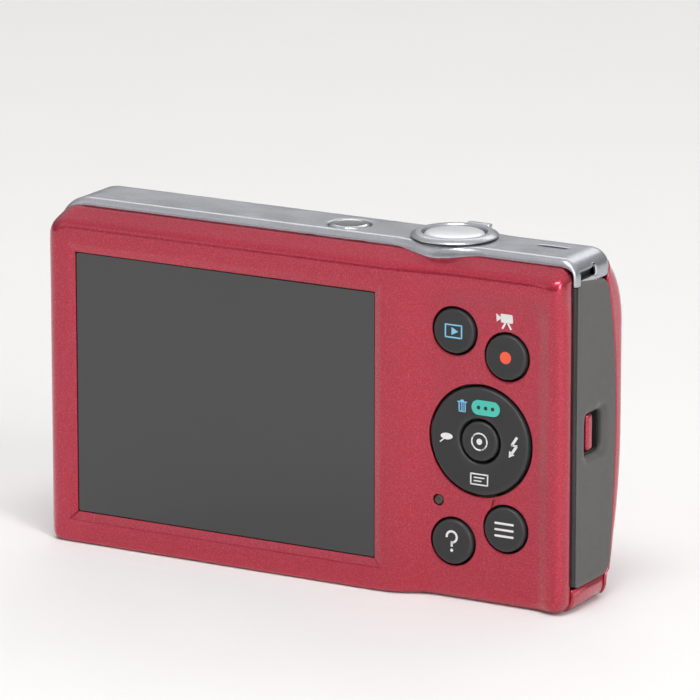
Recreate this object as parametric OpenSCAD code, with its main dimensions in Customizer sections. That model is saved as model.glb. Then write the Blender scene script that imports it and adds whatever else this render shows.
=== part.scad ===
// Compact digital camera, an assembly of separate parts.
// The lens looks along -Y, the display faces +Y, the grip end is at -X and +Z is up.

/* [Body] */
// Length of the body along X
body_w = 95.2; // [95:0.1:96]
// Depth from the lens ring to the display side
body_d = 23.6; // [23.6:0.1:24]
// Height of the body
body_h = 57.1; // [57:0.1:58]
// Wall thickness of the covers
wall = 1.3; // [1.1:0.05:1.3]
// Depth that the control panel lies below the display side
panel_recess = 2.3; // [2.2:0.05:2.4]

/* [Display] */
// Width of the display window
window_w = 55.6; // [55:0.1:56]
// Height of the display window
window_h = 43.6; // [43:0.1:44.1]
// Depth of the glass below the display side
glass_recess = 0.7; // [0.5:0.05:0.8]

/* [Buttons] */
// Radius of a small round button cap
cap_r = 3.65; // [3.4:0.05:3.75]
// Radius of the four-way pad
pad_r = 8.7; // [8.4:0.05:8.8]
// Radius of the shutter button
shutter_r = 4.95; // [4.7:0.05:4.95]
// Gap round a button in its hole
button_gap = 0.4; // [0.3:0.05:0.5]
// Height of a button above the control panel
button_proud = 0.5; // [0.5:0.1:0.9]
// Travel of a small button
press = 0.4; // [0.3:0.05:0.4]

/* [Lens] */
// Distance of the lens axis from the middle of the body
lens_x = 10; // [9.8:0.1:10.2]
// Height of the lens axis
lens_z = 28; // [27.5:0.1:28.5]
// Outer radius of the trim ring
ring_r = 22; // [21.6:0.1:22]
// Radius of the opening in front of the glass
aperture_r = 5.3; // [5:0.1:5.4]

/* [Battery and card] */
// Width, thickness and height of the battery pack
battery = [30.4, 5.6, 39.6];
// Width, thickness and height of the memory card
card = [24, 2.1, 32];

/* [Hidden] */
$fn = 48;

red = [0.55, 0.04, 0.09];
silver = [0.75, 0.76, 0.79];
dark = [0.12, 0.12, 0.13];
board_green = [0.1, 0.35, 0.2];
steel = [0.6, 0.6, 0.62];

half_w = body_w / 2;
rear_y = body_d / 2;
front_y = -body_d / 2;
panel_y = rear_y - panel_recess;
seam_y = rear_y - 4;           // joint between the rear cover and the rest
strip_y = -3.2;                // front edge of the silver strip
strip_z = body_h - 4.3;        // lower edge of the silver strip
face_y = rear_y - 21.5;        // furthest forward point of the front cover
lean_y = -3.3;                 // where the bottom stops being flat
far = 60;                      // reach of a cut that clears the body
gap = 0.1;                     // seam between two fixed covers

window_x = [-13.6, -13.6 + window_w];
window_z = [5.3, 5.3 + window_h];
window_mid = [(window_x[0] + window_x[1]) / 2, (window_z[0] + window_z[1]) / 2];

playback_at = [-27.05, 43.9];
movie_at = [-36.3, 40.75];
help_at = [-26.9, 9.55];
menu_at = [-36.25, 12.8];
pad_at = [-31.75, 26.6];
led_at = [-24.2, 16];
func_r = 3.4;
led_r = 0.8;
dome_y = 6.65;                 // rear face of the key domes

shutter_at = [-23, 2.3];
power_at = [-4.3, 2.8];
power_r = 3.25;
zoom_hub_r = 5.75;
zoom_ring_r = 7;
zoom_z = body_h + 0.25;
speaker_at = [-39.7, 0.8];

lens_at = [lens_x, lens_z];
ring_inner_r = 17.75;
outer_r = 17.4;
inner_r = 15.6;
blade_arm = 11;                // from the lens axis to a blade's pivot
blade_pin_r = 0.5;

flash_x = [31.5, 43];
flash_z = [42, 49];
af_at = [-9, 46];
mic_at = [38, 36];

rubber_z = [3.3, 52.6];        // lower and upper edge of the rubber side cover
rubber_front_y = -6.2;
flap_z = 33.2;                 // hinge line of the terminal flap
strap_y = 0.8;
strap_z = 28;
strap_w = 6.6;
strap_h = 7.3;
port_z = 47.5;
port_y = 0.8;
rubber_x = -half_w + 1.25;     // inner face of the rubber

door_x = [-half_w, -11.5];
door_y = [-1.9, 7.45];         // hinge line and rear edge
door_t = 1.3;
hinge_z = 1;
knuckle_r = 1;
hinge_pin_r = 0.4;
ears = [[-37.7, -30.3], [-23.7, -20.3]];
door_clear = 0.3;

battery_at = [-42.45, -0.2, 2.6];
card_at = [-42.15, -3.1, 3.6];
holder_x = [-43.2, -11.3];
tripod_at = [-1, 0.9];
tripod_flange_r = 3.8;
tripod_r = 2.6;

screws_bottom = [[43, 3.5], [22, 3.5]];
screws_side = [[2, 12], [2, 44]];

// Points of a round stretch, from angle a0 to a1
function arc(c, r, a0, a1, n = 6) =
    [for (i = [0:n]) c + r * [cos(a0 + (a1 - a0) * i / n), sin(a0 + (a1 - a0) * i / n)]];
// Depth of the front face at height z: full at lens height, leaning in to the foot and rounded at the top
function front_at(z) =
    let (s = z < 27 ? (27 - z) / 27 : max(0, (z - 45) / (body_h - 45)), p = z < 27 ? 1.8 : 2.2)
    lean_y + (face_y - lean_y) * pow(max(0, 1 - pow(s, p)), 0.62);
// Smooth step from 0 to 1
function smooth(t) = t * t * (3 - 2 * t);

// Outline seen along Z
module plan_outline() {
    rear_r = 2.3;
    front_r = 3;
    step_x = [-16, -25];
    bow = 0.7;
    polygon(concat(
        arc([half_w - 2.6, rear_y - 2.6], 2.6, 0, 90),
        [for (i = [0:8]) [step_x[0] + (step_x[1] - step_x[0]) * i / 8, rear_y - panel_recess * smooth(i / 8)]],
        arc([-half_w + rear_r, panel_y - rear_r], rear_r, 90, 180),
        arc([-half_w + front_r, face_y + bow + front_r], front_r, 180, 270),
        [for (x = [-30:15:30]) [x, face_y + bow * pow(x / half_w, 2)]],
        arc([half_w - front_r, face_y + bow + front_r], front_r, 270, 360)));
}

// Outline seen along X, with the top facet of the rear side
module side_outline() {
    foot_r = 0.9;
    polygon(concat(
        arc([rear_y - foot_r, foot_r], foot_r, -90, 0, 4),
        [[rear_y, 53.7], [seam_y, 55.9], [seam_y - 0.5, body_h - 0.4], [seam_y - 1.3, body_h]],
        [[0, body_h], [strip_y, body_h - 0.3]],
        [for (z = [56.2, 55, 53, 50, 45, 27, 20, 14, 9, 5, 2.2, 0.8]) [front_at(z), z]],
        [[lean_y, 0]]));
}

// Outline seen along Y
module front_outline() {
    polygon(concat(
        arc([half_w - 2, 2], 2, -90, 0, 4),
        arc([half_w - 5.5, body_h - 5.5], 5.5, 0, 90),
        arc([-half_w + 3, body_h - 3], 3, 90, 180),
        arc([-half_w + 2.5, 2.5], 2.5, 180, 270, 4)));
}

// Whole outer shape, drawn in by t all round
module body_shape(t = 0) {
    intersection() {
        translate([0, 0, -1]) linear_extrude(body_h + 2) offset(delta = -t) plan_outline();
        rotate([90, 0, 90]) translate([0, 0, -half_w - 1]) linear_extrude(body_w + 2)
            offset(delta = -t) side_outline();
        rotate([90, 0, 0]) translate([0, 0, -body_d]) linear_extrude(2 * body_d)
            offset(delta = -t) front_outline();
    }
}

module shell() {
    difference() {
        body_shape();
        body_shape(wall);
    }
}

// Box from its low and high corners
module box(lo, hi) {
    translate(lo) cube(hi - lo);
}

// Round bar along Y between y0 and y1, centred at [x, z]
module bar_y(at, r, y0, y1) {
    translate([at[0], y0, at[1]]) rotate([-90, 0, 0]) cylinder(r = r, h = y1 - y0);
}

// Round bar along X between x0 and x1, centred at [y, z]
module bar_x(at, r, x0, x1) {
    translate([x0, at[0], at[1]]) rotate([0, 90, 0]) cylinder(r = r, h = x1 - x0);
}

// Round bar along Z between z0 and z1, centred at [x, y]
module bar_z(at, r, z0, z1) {
    translate([at[0], at[1], z0]) cylinder(r = r, h = z1 - z0);
}

// Ring along Y
module ring_y(at, r, bore, y0, y1) {
    difference() {
        bar_y(at, r, y0, y1);
        bar_y(at, bore, y0 - 1, y1 + 1);
    }
}

// Space of the silver strip, with the boss under the zoom lever
module strip_space(grow = 0) {
    box([-far, strip_y - grow, strip_z - grow], [far, seam_y + grow, far + 10]);
    bar_z(shutter_at, 7.4 + grow, 54.8 - grow, far + 10);
}

module door_space(grow = 0) {
    box([-far, door_y[0] - knuckle_r - grow, -1], [door_x[1] + grow, door_y[1] + grow, door_t + 0.2]);
}

module rear_cover() {
    color(red) difference() {
        intersection() {
            shell();
            box([-far, seam_y, -1], [far, far, far]);
        }
        strip_space(gap);
        translate([window_x[0], seam_y, window_z[0]]) cube([window_w, far, window_h]);
        for (at = [playback_at, movie_at, help_at, menu_at]) bar_y(at, cap_r + button_gap, 5, 14);
        bar_y(pad_at, pad_r + button_gap + 0.15, 5, 14);
        bar_y(led_at, led_r + 0.12, 5, 14);
        bar_z(shutter_at, zoom_hub_r + 0.35, 53.8, far);
    }
}

module front_cover() {
    color(red) difference() {
        intersection() {
            shell();
            box([-far, -far, -1], [far, seam_y - gap, far]);
        }
        strip_space(gap);
        box([-far, rubber_front_y - gap, rubber_z[0] - gap], [-half_w + wall, far, far]);
        box([-far, door_y[0] - knuckle_r - door_clear, -1], [-half_w + wall, far, 20]);
        door_space(door_clear);
        bar_x([door_y[0], hinge_z], knuckle_r + door_clear, -far, door_x[1] + door_clear);
        bar_y(lens_at, ring_r + 0.15, -20, 0);
        box([flash_x[0] - gap, -15, flash_z[0] - gap], [flash_x[1] + gap, -5, flash_z[1] + gap]);
        bar_y(af_at, 2.5, -15, -5);
        for (dx = [-1.2, 0, 1.2]) bar_y(mic_at + [dx, 0], 0.35, -15, -5);
        bar_z(tripod_at, tripod_flange_r + 0.1, -1, 3);
        for (at = screws_bottom) bar_z(at, 1.4, -1, 3);
        for (at = screws_side) bar_x(at, 1.4, half_w - 3, half_w + 1);
    }
}

module top_cover() {
    color(silver) difference() {
        union() {
            intersection() {
                shell();
                box([-far, strip_y, strip_z], [far, seam_y, far]);
            }
            bar_z(shutter_at, 7.4, 55.85, body_h);
        }
        bar_z(shutter_at, zoom_hub_r + 0.3, 50, 60);
        bar_z(power_at, power_r + 0.25, 50, 60);
        box([speaker_at[0] - 2.85, speaker_at[1] - 0.5, 50], [speaker_at[0] + 2.85, speaker_at[1] + 0.5, 60]);
    }
}

module end_plate() {
    color(dark) difference() {
        box([-half_w + 1.35, -5.2, 5.5], [-half_w + 2.2, 7, 52]);
        box([-far, port_y - 4.1, port_z - 2.4], [0, port_y + 4.1, port_z + 2.4]);
        box([-far, strap_y - strap_w / 2 - gap, strap_z - strap_h / 2 - 0.3],
            [0, strap_y + strap_w / 2 + gap, strap_z + strap_h / 2 + 0.3]);
    }
}

// Rubber skin of the grip end
module rubber_skin(z0, z1) {
    intersection() {
        body_shape();
        box([-far, rubber_front_y, z0], [rubber_x, seam_y - gap, z1]);
    }
}

module terminal_flap() {
    color(dark) union() {
        rubber_skin(flap_z + 0.2, rubber_z[1]);
        box([rubber_x - 0.2, port_y - 3.4, port_z - 1.4], [rubber_x + 0.9, port_y + 3.4, port_z + 1.4]);
    }
}

module side_pad() {
    color(dark) difference() {
        rubber_skin(rubber_z[0], flap_z - 0.2);
        box([-far, strap_y - strap_w / 2, strap_z - strap_h / 2], [0, strap_y + strap_w / 2, strap_z + strap_h / 2]);
    }
}

module strap_cup() {
    lo = [-half_w + 1.3, strap_y - strap_w / 2, strap_z - strap_h / 2];
    color(dark) difference() {
        box(lo, lo + [2.9, strap_w, strap_h]);
        box(lo + [-1, 0.6, 0.6], lo + [2.3, strap_w - 0.6, strap_h - 0.6]);
    }
}

module strap_bar() {
    bar_h = strap_h - 1.2;
    color(red) box([-half_w + 1, strap_y - 1, strap_z - bar_h / 2], [-half_w + 2.4, strap_y + 1, strap_z + bar_h / 2]);
}

module battery_door() {
    color(red) difference() {
        intersection() {
            body_shape();
            union() {
                box([-far, door_y[0], 0], [door_x[1], door_y[1], door_t]);
                box([-far, door_y[0] - knuckle_r, 0], [-half_w + 1.2, door_y[1], 2.9]);
                bar_x([door_y[0], hinge_z], knuckle_r, -half_w + 0.2, door_x[1]);
            }
        }
        for (e = ears) {
            bar_x([door_y[0], hinge_z], knuckle_r + 0.2, e[0] - 0.25, e[1] + 0.25);
        }
        bar_x([door_y[0], hinge_z], hinge_pin_r + 0.05, -44.2, door_x[1] + 1);
    }
}

module door_slider() {
    color(steel) difference() {
        union() {
            box([-38.2, door_y[0] - 1.2, 2.3], [-19.8, door_y[0] + 1.2, 3.1]);
            for (e = ears) {
                bar_x([door_y[0], hinge_z], 0.95, e[0], e[1]);
                box([e[0], door_y[0] - 0.6, hinge_z], [e[1], door_y[0] + 0.6, 2.5]);
            }
        }
        bar_x([door_y[0], hinge_z], hinge_pin_r, -far, 0);
    }
}

module door_hinge_pin() {
    color(steel) bar_x([door_y[0], hinge_z], hinge_pin_r, -44, door_x[1] - 0.3);
}

module display_window() {
    color([0.03, 0.03, 0.035]) translate([window_x[0] + 0.1, rear_y - glass_recess - 1, window_z[0] + 0.1])
        cube([window_w - 0.2, 1, window_h - 0.2]);
}

// Flat block centred behind the display window
module behind_window(w, h, y0, y1) {
    translate([window_mid[0] - w / 2, y0, window_mid[1] - h / 2]) cube([w, y1 - y0, h]);
}

module lcd_panel() {
    color([0.2, 0.2, 0.25]) behind_window(57, 44.5, 8.3, 9.95);
}

module backlight() {
    color([0.9, 0.9, 0.92]) behind_window(57, 44.5, 7, 8.2);
}

module lcd_frame() {
    color(steel) difference() {
        behind_window(58.4, 45.9, 6.4, 9.9);
        behind_window(57.2, 44.7, 6.9, 11);
    }
}

// Small cap with a retaining flange and a stem
module round_button(at) {
    color(dark) union() {
        bar_y(at, cap_r, 7.7, panel_y + button_proud);
        bar_y(at, cap_r + 1, 7.6, 8.15);
        bar_y(at, 1.2, dome_y + press + 0.05, 7.8);
    }
}

module playback_button() {
    round_button(playback_at);
}

module movie_button() {
    round_button(movie_at);
}

module help_button() {
    round_button(help_at);
}

module menu_button() {
    round_button(menu_at);
}

module dpad_ring() {
    color(dark) difference() {
        union() {
            bar_y(pad_at, pad_r, 7.2, panel_y + button_proud);
            bar_y(pad_at, pad_r + 1, 7.15, 7.7);
        }
        bar_y(pad_at, func_r + 0.45, 5, 12);
        bar_y(pad_at, 6.9, 5, 7.95);
    }
}

module dpad_plate() {
    color(steel) ring_y(pad_at, 6.5, 4.5, 7.25, 7.6);
}

module func_button() {
    color(dark) union() {
        bar_y(pad_at, func_r, 7.1, panel_y + button_proud);
        bar_y(pad_at, func_r + 0.7, 7.05, 7.5);
    }
}

module status_led() {
    color([0.3, 0.28, 0.2]) bar_y(led_at, led_r, 6.45, panel_y + 0.15);
}

module key_board() {
    color(board_green) difference() {
        box([-45, 5.9, 4], [-17.5, 6.4, 49]);
        bar_z([-45, 6], 1, 0, 60);
    }
}

module key_domes() {
    color(steel) {
        for (at = [playback_at, movie_at, help_at, menu_at, pad_at]) bar_y(at, 2, 6.4, dome_y);
        for (a = [0:90:270]) bar_y(pad_at + 8.2 * [cos(a), sin(a)], 1.6, 6.4, dome_y);
    }
}

module shutter_button() {
    dome_r = 24;
    top_z = body_h + 1.05;
    color([0.93, 0.93, 0.95]) union() {
        intersection() {
            bar_z(shutter_at, shutter_r, 56.2, top_z);
            translate([shutter_at[0], shutter_at[1], top_z - dome_r]) sphere(r = dome_r, $fn = 96);
        }
        bar_z(shutter_at, 1.8, 52, 56.4);
    }
}

// Coil of round wire along Z
module coil(mean_r, wire_r, height, turns) {
    sides = 6;
    steps = turns * 16;
    rings = [for (i = [0:steps]) let (a = 360 * turns * i / steps, z = height * i / steps)
        [for (j = [0:sides - 1]) let (b = 360 * j / sides, r = mean_r + wire_r * cos(b))
            [r * cos(a), r * sin(a), z + wire_r * sin(b)]]];
    polyhedron(
        points = [for (ring = rings) each ring],
        faces = concat(
            [[for (j = [0:sides - 1]) j]],
            [for (i = [0:steps - 1], j = [0:sides - 1])
                [i * sides + j, (i + 1) * sides + j, (i + 1) * sides + (j + 1) % sides, i * sides + (j + 1) % sides]],
            [[for (j = [sides - 1:-1:0]) steps * sides + j]]),
        convexity = 6);
}

module shutter_spring() {
    color(steel) translate([shutter_at[0], shutter_at[1], 51.15]) coil(2.6, 0.25, 4.7, 5);
}

module zoom_lever() {
    color(silver) difference() {
        union() {
            bar_z(shutter_at, zoom_hub_r, 54.2, zoom_z + 0.3);
            bar_z(shutter_at, zoom_ring_r, zoom_z, zoom_z + 0.65);
            translate([shutter_at[0], shutter_at[1], 0]) rotate([0, 0, -105])
                box([zoom_ring_r - 1.2, -1.1, zoom_z], [zoom_ring_r + 0.5, 1.1, zoom_z + 0.75]);
        }
        bar_z(shutter_at, shutter_r + 0.25, 50, 60);
    }
}

module power_button() {
    color([0.85, 0.86, 0.88]) union() {
        bar_z(power_at, power_r, 54.9, body_h + 0.2);
        bar_z(power_at, power_r + 0.65, 54.6, 55.2);
        bar_z(power_at, 1.2, 51.6, 54.8);
    }
}

module top_board() {
    color(board_green) difference() {
        box([-31, -2.6, 50], [1, 6.2, 50.8]);
        bar_z([-31, -2.6], 1, 49, 52);
    }
}

module lens_ring() {
    base_y = -5.6;
    color([0.8, 0.81, 0.83]) translate([lens_x, 0, lens_z]) rotate([90, 0, 0]) rotate_extrude($fn = 96)
        polygon([[ring_inner_r, -base_y], [ring_r, -base_y], [ring_r, -front_y - 1.9], [ring_r - 0.5, -front_y - 1.3],
            [ring_r - 1.6, -front_y], [ring_r - 2.6, -front_y], [ring_inner_r, -front_y - 0.9]]);
}

module lens_housing() {
    color(dark) difference() {
        bar_y(lens_at, 20.5, -5.4, 4.6);
        bar_y(lens_at, 19.2, -6, 3.2);
        translate([lens_x - 5, 0, lens_z - 4.5]) cube([10, 6, 9]);
    }
}

module cam_ring() {
    color(steel) difference() {
        ring_y(lens_at, 18.9, 17.8, -5.2, 2.9);
        for (a = [20, 140, 260]) translate([lens_x, 0, lens_z]) rotate([0, a, 0])
            translate([15, -4, -1]) cube([6, 5, 2]);
    }
}

module outer_barrel() {
    color(silver) difference() {
        ring_y(lens_at, outer_r, inner_r + 0.3, -11.3, 2.8);
        ring_y(lens_at, outer_r + 1, outer_r - 0.25, -10.2, -9.8);
    }
}

module inner_barrel() {
    front = -11.5;
    color(silver) union() {
        difference() {
            bar_y(lens_at, inner_r, front, 2.4);
            bar_y(lens_at, 13.1, front + 0.8, 3);
            bar_y(lens_at, aperture_r, front - 1, 0);
        }
        ring_y(lens_at, 13.3, 6.1, -9.5, -8.9);
        ring_y(lens_at, 8, 6.55, -9, -4);
        for (s = [-1, 1]) bar_y(lens_at + [s * blade_arm, 0], blade_pin_r, -10.6, -9.4);
    }
}

// Half-round blade with an arm to its pivot; side 1 is the upper one
module blade(side) {
    y0 = -10.35;
    y1 = -9.85;
    color(dark) translate([lens_x, 0, lens_z]) rotate([0, side > 0 ? 0 : 180, 0]) difference() {
        union() {
            difference() {
                bar_y([0, 0], 6.2, y0, y1);
                box([-10, -12, -10], [10, 0, 0.06]);
            }
            box([3, y0, 0.06], [blade_arm, y1, 1.2]);
            bar_y([blade_arm, 0], 1.2, y0, y1);
        }
        bar_y([blade_arm, 0], blade_pin_r + 0.05, -12, 0);
    }
}

module upper_blade() {
    blade(1);
}

module lower_blade() {
    blade(-1);
}

module front_lens() {
    color([0.5, 0.6, 0.7, 0.5]) intersection() {
        bar_y(lens_at, 6.5, -8.8, -5.4);
        translate([lens_x, 1, lens_z]) sphere(r = 9.7, $fn = 96);
    }
}

module rear_lens() {
    color([0.5, 0.6, 0.7, 0.5]) intersection() {
        bar_y(lens_at, 5, -1.5, 1.8);
        translate([lens_x, 8, lens_z]) sphere(r = 9.5, $fn = 96);
    }
}

module image_sensor() {
    color([0.25, 0.2, 0.35]) union() {
        translate([lens_x - 4.8, 3.4, lens_z - 4.3]) cube([9.6, 1.1, 8.6]);
        translate([lens_x - 3.1, 3, lens_z - 2.3]) cube([6.2, 0.6, 4.6]);
    }
}

module zoom_motor() {
    color(steel) union() {
        bar_y([34, 8], 3, -3, 3.5);
        bar_y([34, 8], 0.6, -4.6, -2.5);
    }
}

module flash_window() {
    color([0.85, 0.88, 0.9, 0.5]) intersection() {
        body_shape(0.1);
        box([flash_x[0], -15, flash_z[0]], [flash_x[1], -7.4, flash_z[1]]);
    }
}

module flash_reflector() {
    lo = [flash_x[0] - 0.5, -7.3, flash_z[0] - 0.4];
    hi = [flash_x[1] + 0.5, -2, flash_z[1] + 0.4];
    color(steel) difference() {
        box(lo, hi);
        box(lo + [0.6, -1, 0.6], hi - [0.6, 1, 0.6]);
    }
}

module flash_tube() {
    color([0.9, 0.9, 0.95, 0.6]) bar_x([-4.6, (flash_z[0] + flash_z[1]) / 2], 1.2, flash_x[0] + 0.3, flash_x[1] - 0.3);
}

module flash_capacitor() {
    color(dark) bar_z([39.5, 0], 3.7, 12, 32);
}

module af_lamp_lens() {
    color([0.9, 0.6, 0.4, 0.6]) intersection() {
        body_shape(0.1);
        bar_y(af_at, 2.4, -15, -6.8);
    }
}

module microphone() {
    color(steel) bar_y(mic_at, 2, -7.6, -6.4);
}

module speaker() {
    color(dark) difference() {
        bar_z(speaker_at, 4.4, 51.8, 54.2);
        bar_z(speaker_at, 3.4, 53.4, 55);
    }
}

module tripod_socket() {
    color(steel) difference() {
        union() {
            bar_z(tripod_at, tripod_flange_r, 0.2, 1.6);
            bar_z(tripod_at, tripod_flange_r - 0.2, 1, 6.5);
        }
        bar_z(tripod_at, tripod_r, 0, 5.7);
    }
}

module main_board() {
    color(board_green) difference() {
        box([-9.5, 5, 3.2], [44.5, 5.8, 50]);
        for (z = [12, 44]) bar_y([42.5, z], 1.1, 4, 7);
    }
}

module processor_chip() {
    color(dark) box([32, 3.9, 34], [41, 5, 41]);
}

module battery_holder() {
    lo = [holder_x[0], -0.7, 4.2];
    hi = [holder_x[1], 5.85, 44.8];
    color(dark) difference() {
        box(lo, hi);
        box([battery_at[0] - 0.15, battery_at[1] - 0.1, 0], [battery_at[0] + battery[0] + 0.15, 5.5, 44.1]);
    }
}

module card_socket() {
    color(steel) difference() {
        box([card_at[0] - 0.6, card_at[1] - 0.35, 4.2], [card_at[0] + card[0] + 0.6, card_at[1] + card[1] + 0.25, 37]);
        box(card_at - [0.15, 0.08, 2], card_at + card + [0.15, 0.08, 0.5]);
    }
}

module memory_card() {
    cut = 2.2;
    color([0.15, 0.2, 0.45]) translate(card_at) difference() {
        cube(card);
        translate([card[0], -1, card[2]]) rotate([0, 45, 0]) translate([-cut, 0, -cut]) cube([2 * cut, 5, 2 * cut]);
    }
}

module battery_pack() {
    color([0.2, 0.2, 0.22]) translate(battery_at) cube(battery);
}

module battery_latch() {
    color([0.9, 0.45, 0.1]) union() {
        box([-11.8, 1.5, 1.75], [-9.6, 4.5, 3.8]);
        box([-13, 2, 1.75], [-11.6, 4, 2.4]);
    }
}

module battery_contacts() {
    color([0.85, 0.7, 0.3]) union() {
        box([-34, 1, 43], [-22, 4.4, 44]);
        for (i = [0:3]) box([-33 + 3 * i, 2, 42.3], [-32 + 3 * i, 3.4, 43.2]);
    }
}

module usb_port() {
    lo = [-half_w + 2.3, port_y - 3.9, port_z - 2.1];
    color(steel) union() {
        difference() {
            box(lo, lo + [7.5, 7.8, 4.2]);
            box(lo + [-1, 0.4, 0.4], lo + [6.9, 7.4, 3.8]);
        }
        box(lo + [2.4, 1.6, 1.8], lo + [7, 6.2, 2.4]);
    }
}

module screw(length) {
    difference() {
        union() {
            cylinder(r = 1.3, h = 0.7);
            cylinder(r = 0.7, h = length);
        }
        translate([0, 0, -0.4]) cylinder(r = 0.55, h = 0.8, $fn = 6);
    }
}

module body_screws() {
    color(steel) {
        for (at = screws_bottom) translate([at[0], at[1], 0.15]) screw(3);
        for (at = screws_side) translate([half_w - 0.15, at[0], at[1]]) rotate([0, -90, 0]) screw(3);
    }
}

rear_cover();
front_cover();
top_cover();
end_plate();
terminal_flap();
side_pad();
strap_cup();
strap_bar();
battery_door();
door_slider();
door_hinge_pin();
display_window();
lcd_panel();
backlight();
lcd_frame();
playback_button();
movie_button();
help_button();
menu_button();
dpad_ring();
dpad_plate();
func_button();
status_led();
key_board();
key_domes();
shutter_button();
shutter_spring();
zoom_lever();
power_button();
top_board();
lens_ring();
lens_housing();
cam_ring();
outer_barrel();
inner_barrel();
upper_blade();
lower_blade();
front_lens();
rear_lens();
image_sensor();
zoom_motor();
flash_window();
flash_reflector();
flash_tube();
flash_capacitor();
af_lamp_lens();
microphone();
speaker();
tripod_socket();
main_board();
processor_chip();
battery_holder();
card_socket();
memory_card();
battery_pack();
battery_latch();
battery_contacts();
usb_port();
body_screws();
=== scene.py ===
import math
import bmesh
import bpy
from mathutils import Matrix, Vector


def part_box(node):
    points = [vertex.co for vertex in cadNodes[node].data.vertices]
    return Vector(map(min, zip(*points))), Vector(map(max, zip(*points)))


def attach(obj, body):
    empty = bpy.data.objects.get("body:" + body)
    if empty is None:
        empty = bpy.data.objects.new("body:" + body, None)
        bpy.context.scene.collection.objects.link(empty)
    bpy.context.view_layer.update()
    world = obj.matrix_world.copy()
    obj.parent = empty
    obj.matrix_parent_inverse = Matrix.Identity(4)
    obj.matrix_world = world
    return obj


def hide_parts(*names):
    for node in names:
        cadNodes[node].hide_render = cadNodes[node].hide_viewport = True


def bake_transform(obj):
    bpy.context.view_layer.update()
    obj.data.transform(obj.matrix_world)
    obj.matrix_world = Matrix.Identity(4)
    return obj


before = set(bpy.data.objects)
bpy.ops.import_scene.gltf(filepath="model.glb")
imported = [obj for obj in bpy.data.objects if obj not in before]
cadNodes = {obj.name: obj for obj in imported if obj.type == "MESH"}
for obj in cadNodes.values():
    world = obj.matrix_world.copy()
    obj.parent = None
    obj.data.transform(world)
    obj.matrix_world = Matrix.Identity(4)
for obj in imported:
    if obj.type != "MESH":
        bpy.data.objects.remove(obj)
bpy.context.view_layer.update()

mm = 0.001
scene = bpy.context.scene


def boxOf(node):  # a CAD node's corners in millimetres
    low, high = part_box(node)
    return low / mm, high / mm


def middleOf(node):
    low, high = boxOf(node)
    return (low + high) / 2


def smooth(t):
    t = min(1.0, max(0.0, t))
    return t * t * (3 - 2 * t)


body = {
    "halfWidth": 47.6,
    "gripSide": 46.9,      # the grip end is drawn in at the seam
    "rear": 11.8,
    "seam": 7.8,           # joint between the rear cover and the rest
    "seamTop": 55.9,       # where the top facet meets the silver strip
    "panelRecess": 2.3,
    "ridge": 1.15,         # lip round the outer side of the control panel
    "facetSlope": 0.55,
}

shot = {
    "lens": 308.57,
    "turn": 29.62,         # degrees from square on, towards the grip end
    "rise": 14.29,
    "distance": 963,
    "target": (0, 1.8, 28.5),
    "slide": (3.28, 6.94),
}


def makeCamera():
    turn, rise = math.radians(shot["turn"]), math.radians(shot["rise"])
    back = Vector((-math.sin(turn) * math.cos(rise), math.cos(turn) * math.cos(rise), math.sin(rise)))
    right = Vector((-math.cos(turn), -math.sin(turn), 0))
    up = back.cross(right)
    place = Vector(shot["target"]) + shot["distance"] * back + shot["slide"][0] * right + shot["slide"][1] * up
    data = bpy.data.cameras.new("camera")
    data.lens = shot["lens"]
    data.sensor_width = 36
    data.clip_start = 0.05
    data.clip_end = 20
    holder = bpy.data.objects.new("camera", data)
    holder.location = place * mm
    holder.rotation_mode = "QUATERNION"
    holder.rotation_quaternion = (-back).to_track_quat("-Z", "Y")
    scene.collection.objects.link(holder)
    scene.camera = holder


def softBox(name, place, aim, size, power, tint=(1, 1, 1)):
    data = bpy.data.lights.new(name, "AREA")
    data.shape = "RECTANGLE"
    data.size, data.size_y = size
    data.energy = power
    data.color = tint
    holder = bpy.data.objects.new(name, data)
    holder.location = place
    holder.rotation_mode = "QUATERNION"
    holder.rotation_quaternion = (Vector(aim) - Vector(place)).to_track_quat("-Z", "Y")
    scene.collection.objects.link(holder)


studio = {
    "worldLow": 0.16,      # strength near the horizon
    "worldHigh": 0.62,
    "worldTint": (1.0, 0.99, 0.985),
    "floorColour": (0.785, 0.78, 0.775),
    "floorSize": 6.0,
    "boxes": [
        ("overheadBox", (-0.15, 0.35, 1.1), (0, 0, 0.03), (0.55, 0.35), 6.6),
        ("sideBox", (-0.95, 0.55, 0.5), (0, 0, 0.03), (0.22, 0.8), 7.0),
        ("fillBox", (0.9, 0.9, 0.5), (0, 0, 0.03), (0.7, 0.7), 0.9),
        ("farBox", (0.6, -2.2, 1.7), (0.5, -1.9, 0), (2.4, 1.6), 19.0),
    ],
}


def makeStudio():
    world = bpy.data.worlds.new("studio")
    world.use_nodes = True
    tree = world.node_tree
    back = tree.nodes["Background"]
    back.inputs["Color"].default_value = (*studio["worldTint"], 1)
    place = addNode(tree, "ShaderNodeTexCoord")
    split = addNode(tree, "ShaderNodeSeparateXYZ")
    rise = addNode(tree, "ShaderNodeMapRange", {"From Min": 0.0, "From Max": 0.7, "To Min": studio["worldLow"],
                                                "To Max": studio["worldHigh"]}, interpolation_type="SMOOTHSTEP")
    wire(place, "Generated", split, 0)
    wire(split, "Z", rise, "Value")
    wire(rise, 0, back, "Strength")
    scene.world = world
    for row in studio["boxes"]:
        softBox(*row)
    scene.view_settings.view_transform = "Standard"
    bm = bmesh.new()
    bmesh.ops.create_grid(bm, x_segments=4, y_segments=4, size=studio["floorSize"] / 2)
    mesh = bpy.data.meshes.new("floor")
    bm.to_mesh(mesh)
    bm.free()
    floor = bpy.data.objects.new("floor", mesh)
    scene.collection.objects.link(floor)
    mesh.materials.append(finish("floorPaper", {
        "base": studio["floorColour"], "deep": 0.97, "rough": (0.75, 0.9), "grain": 40, "bump": 0.0}))


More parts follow.
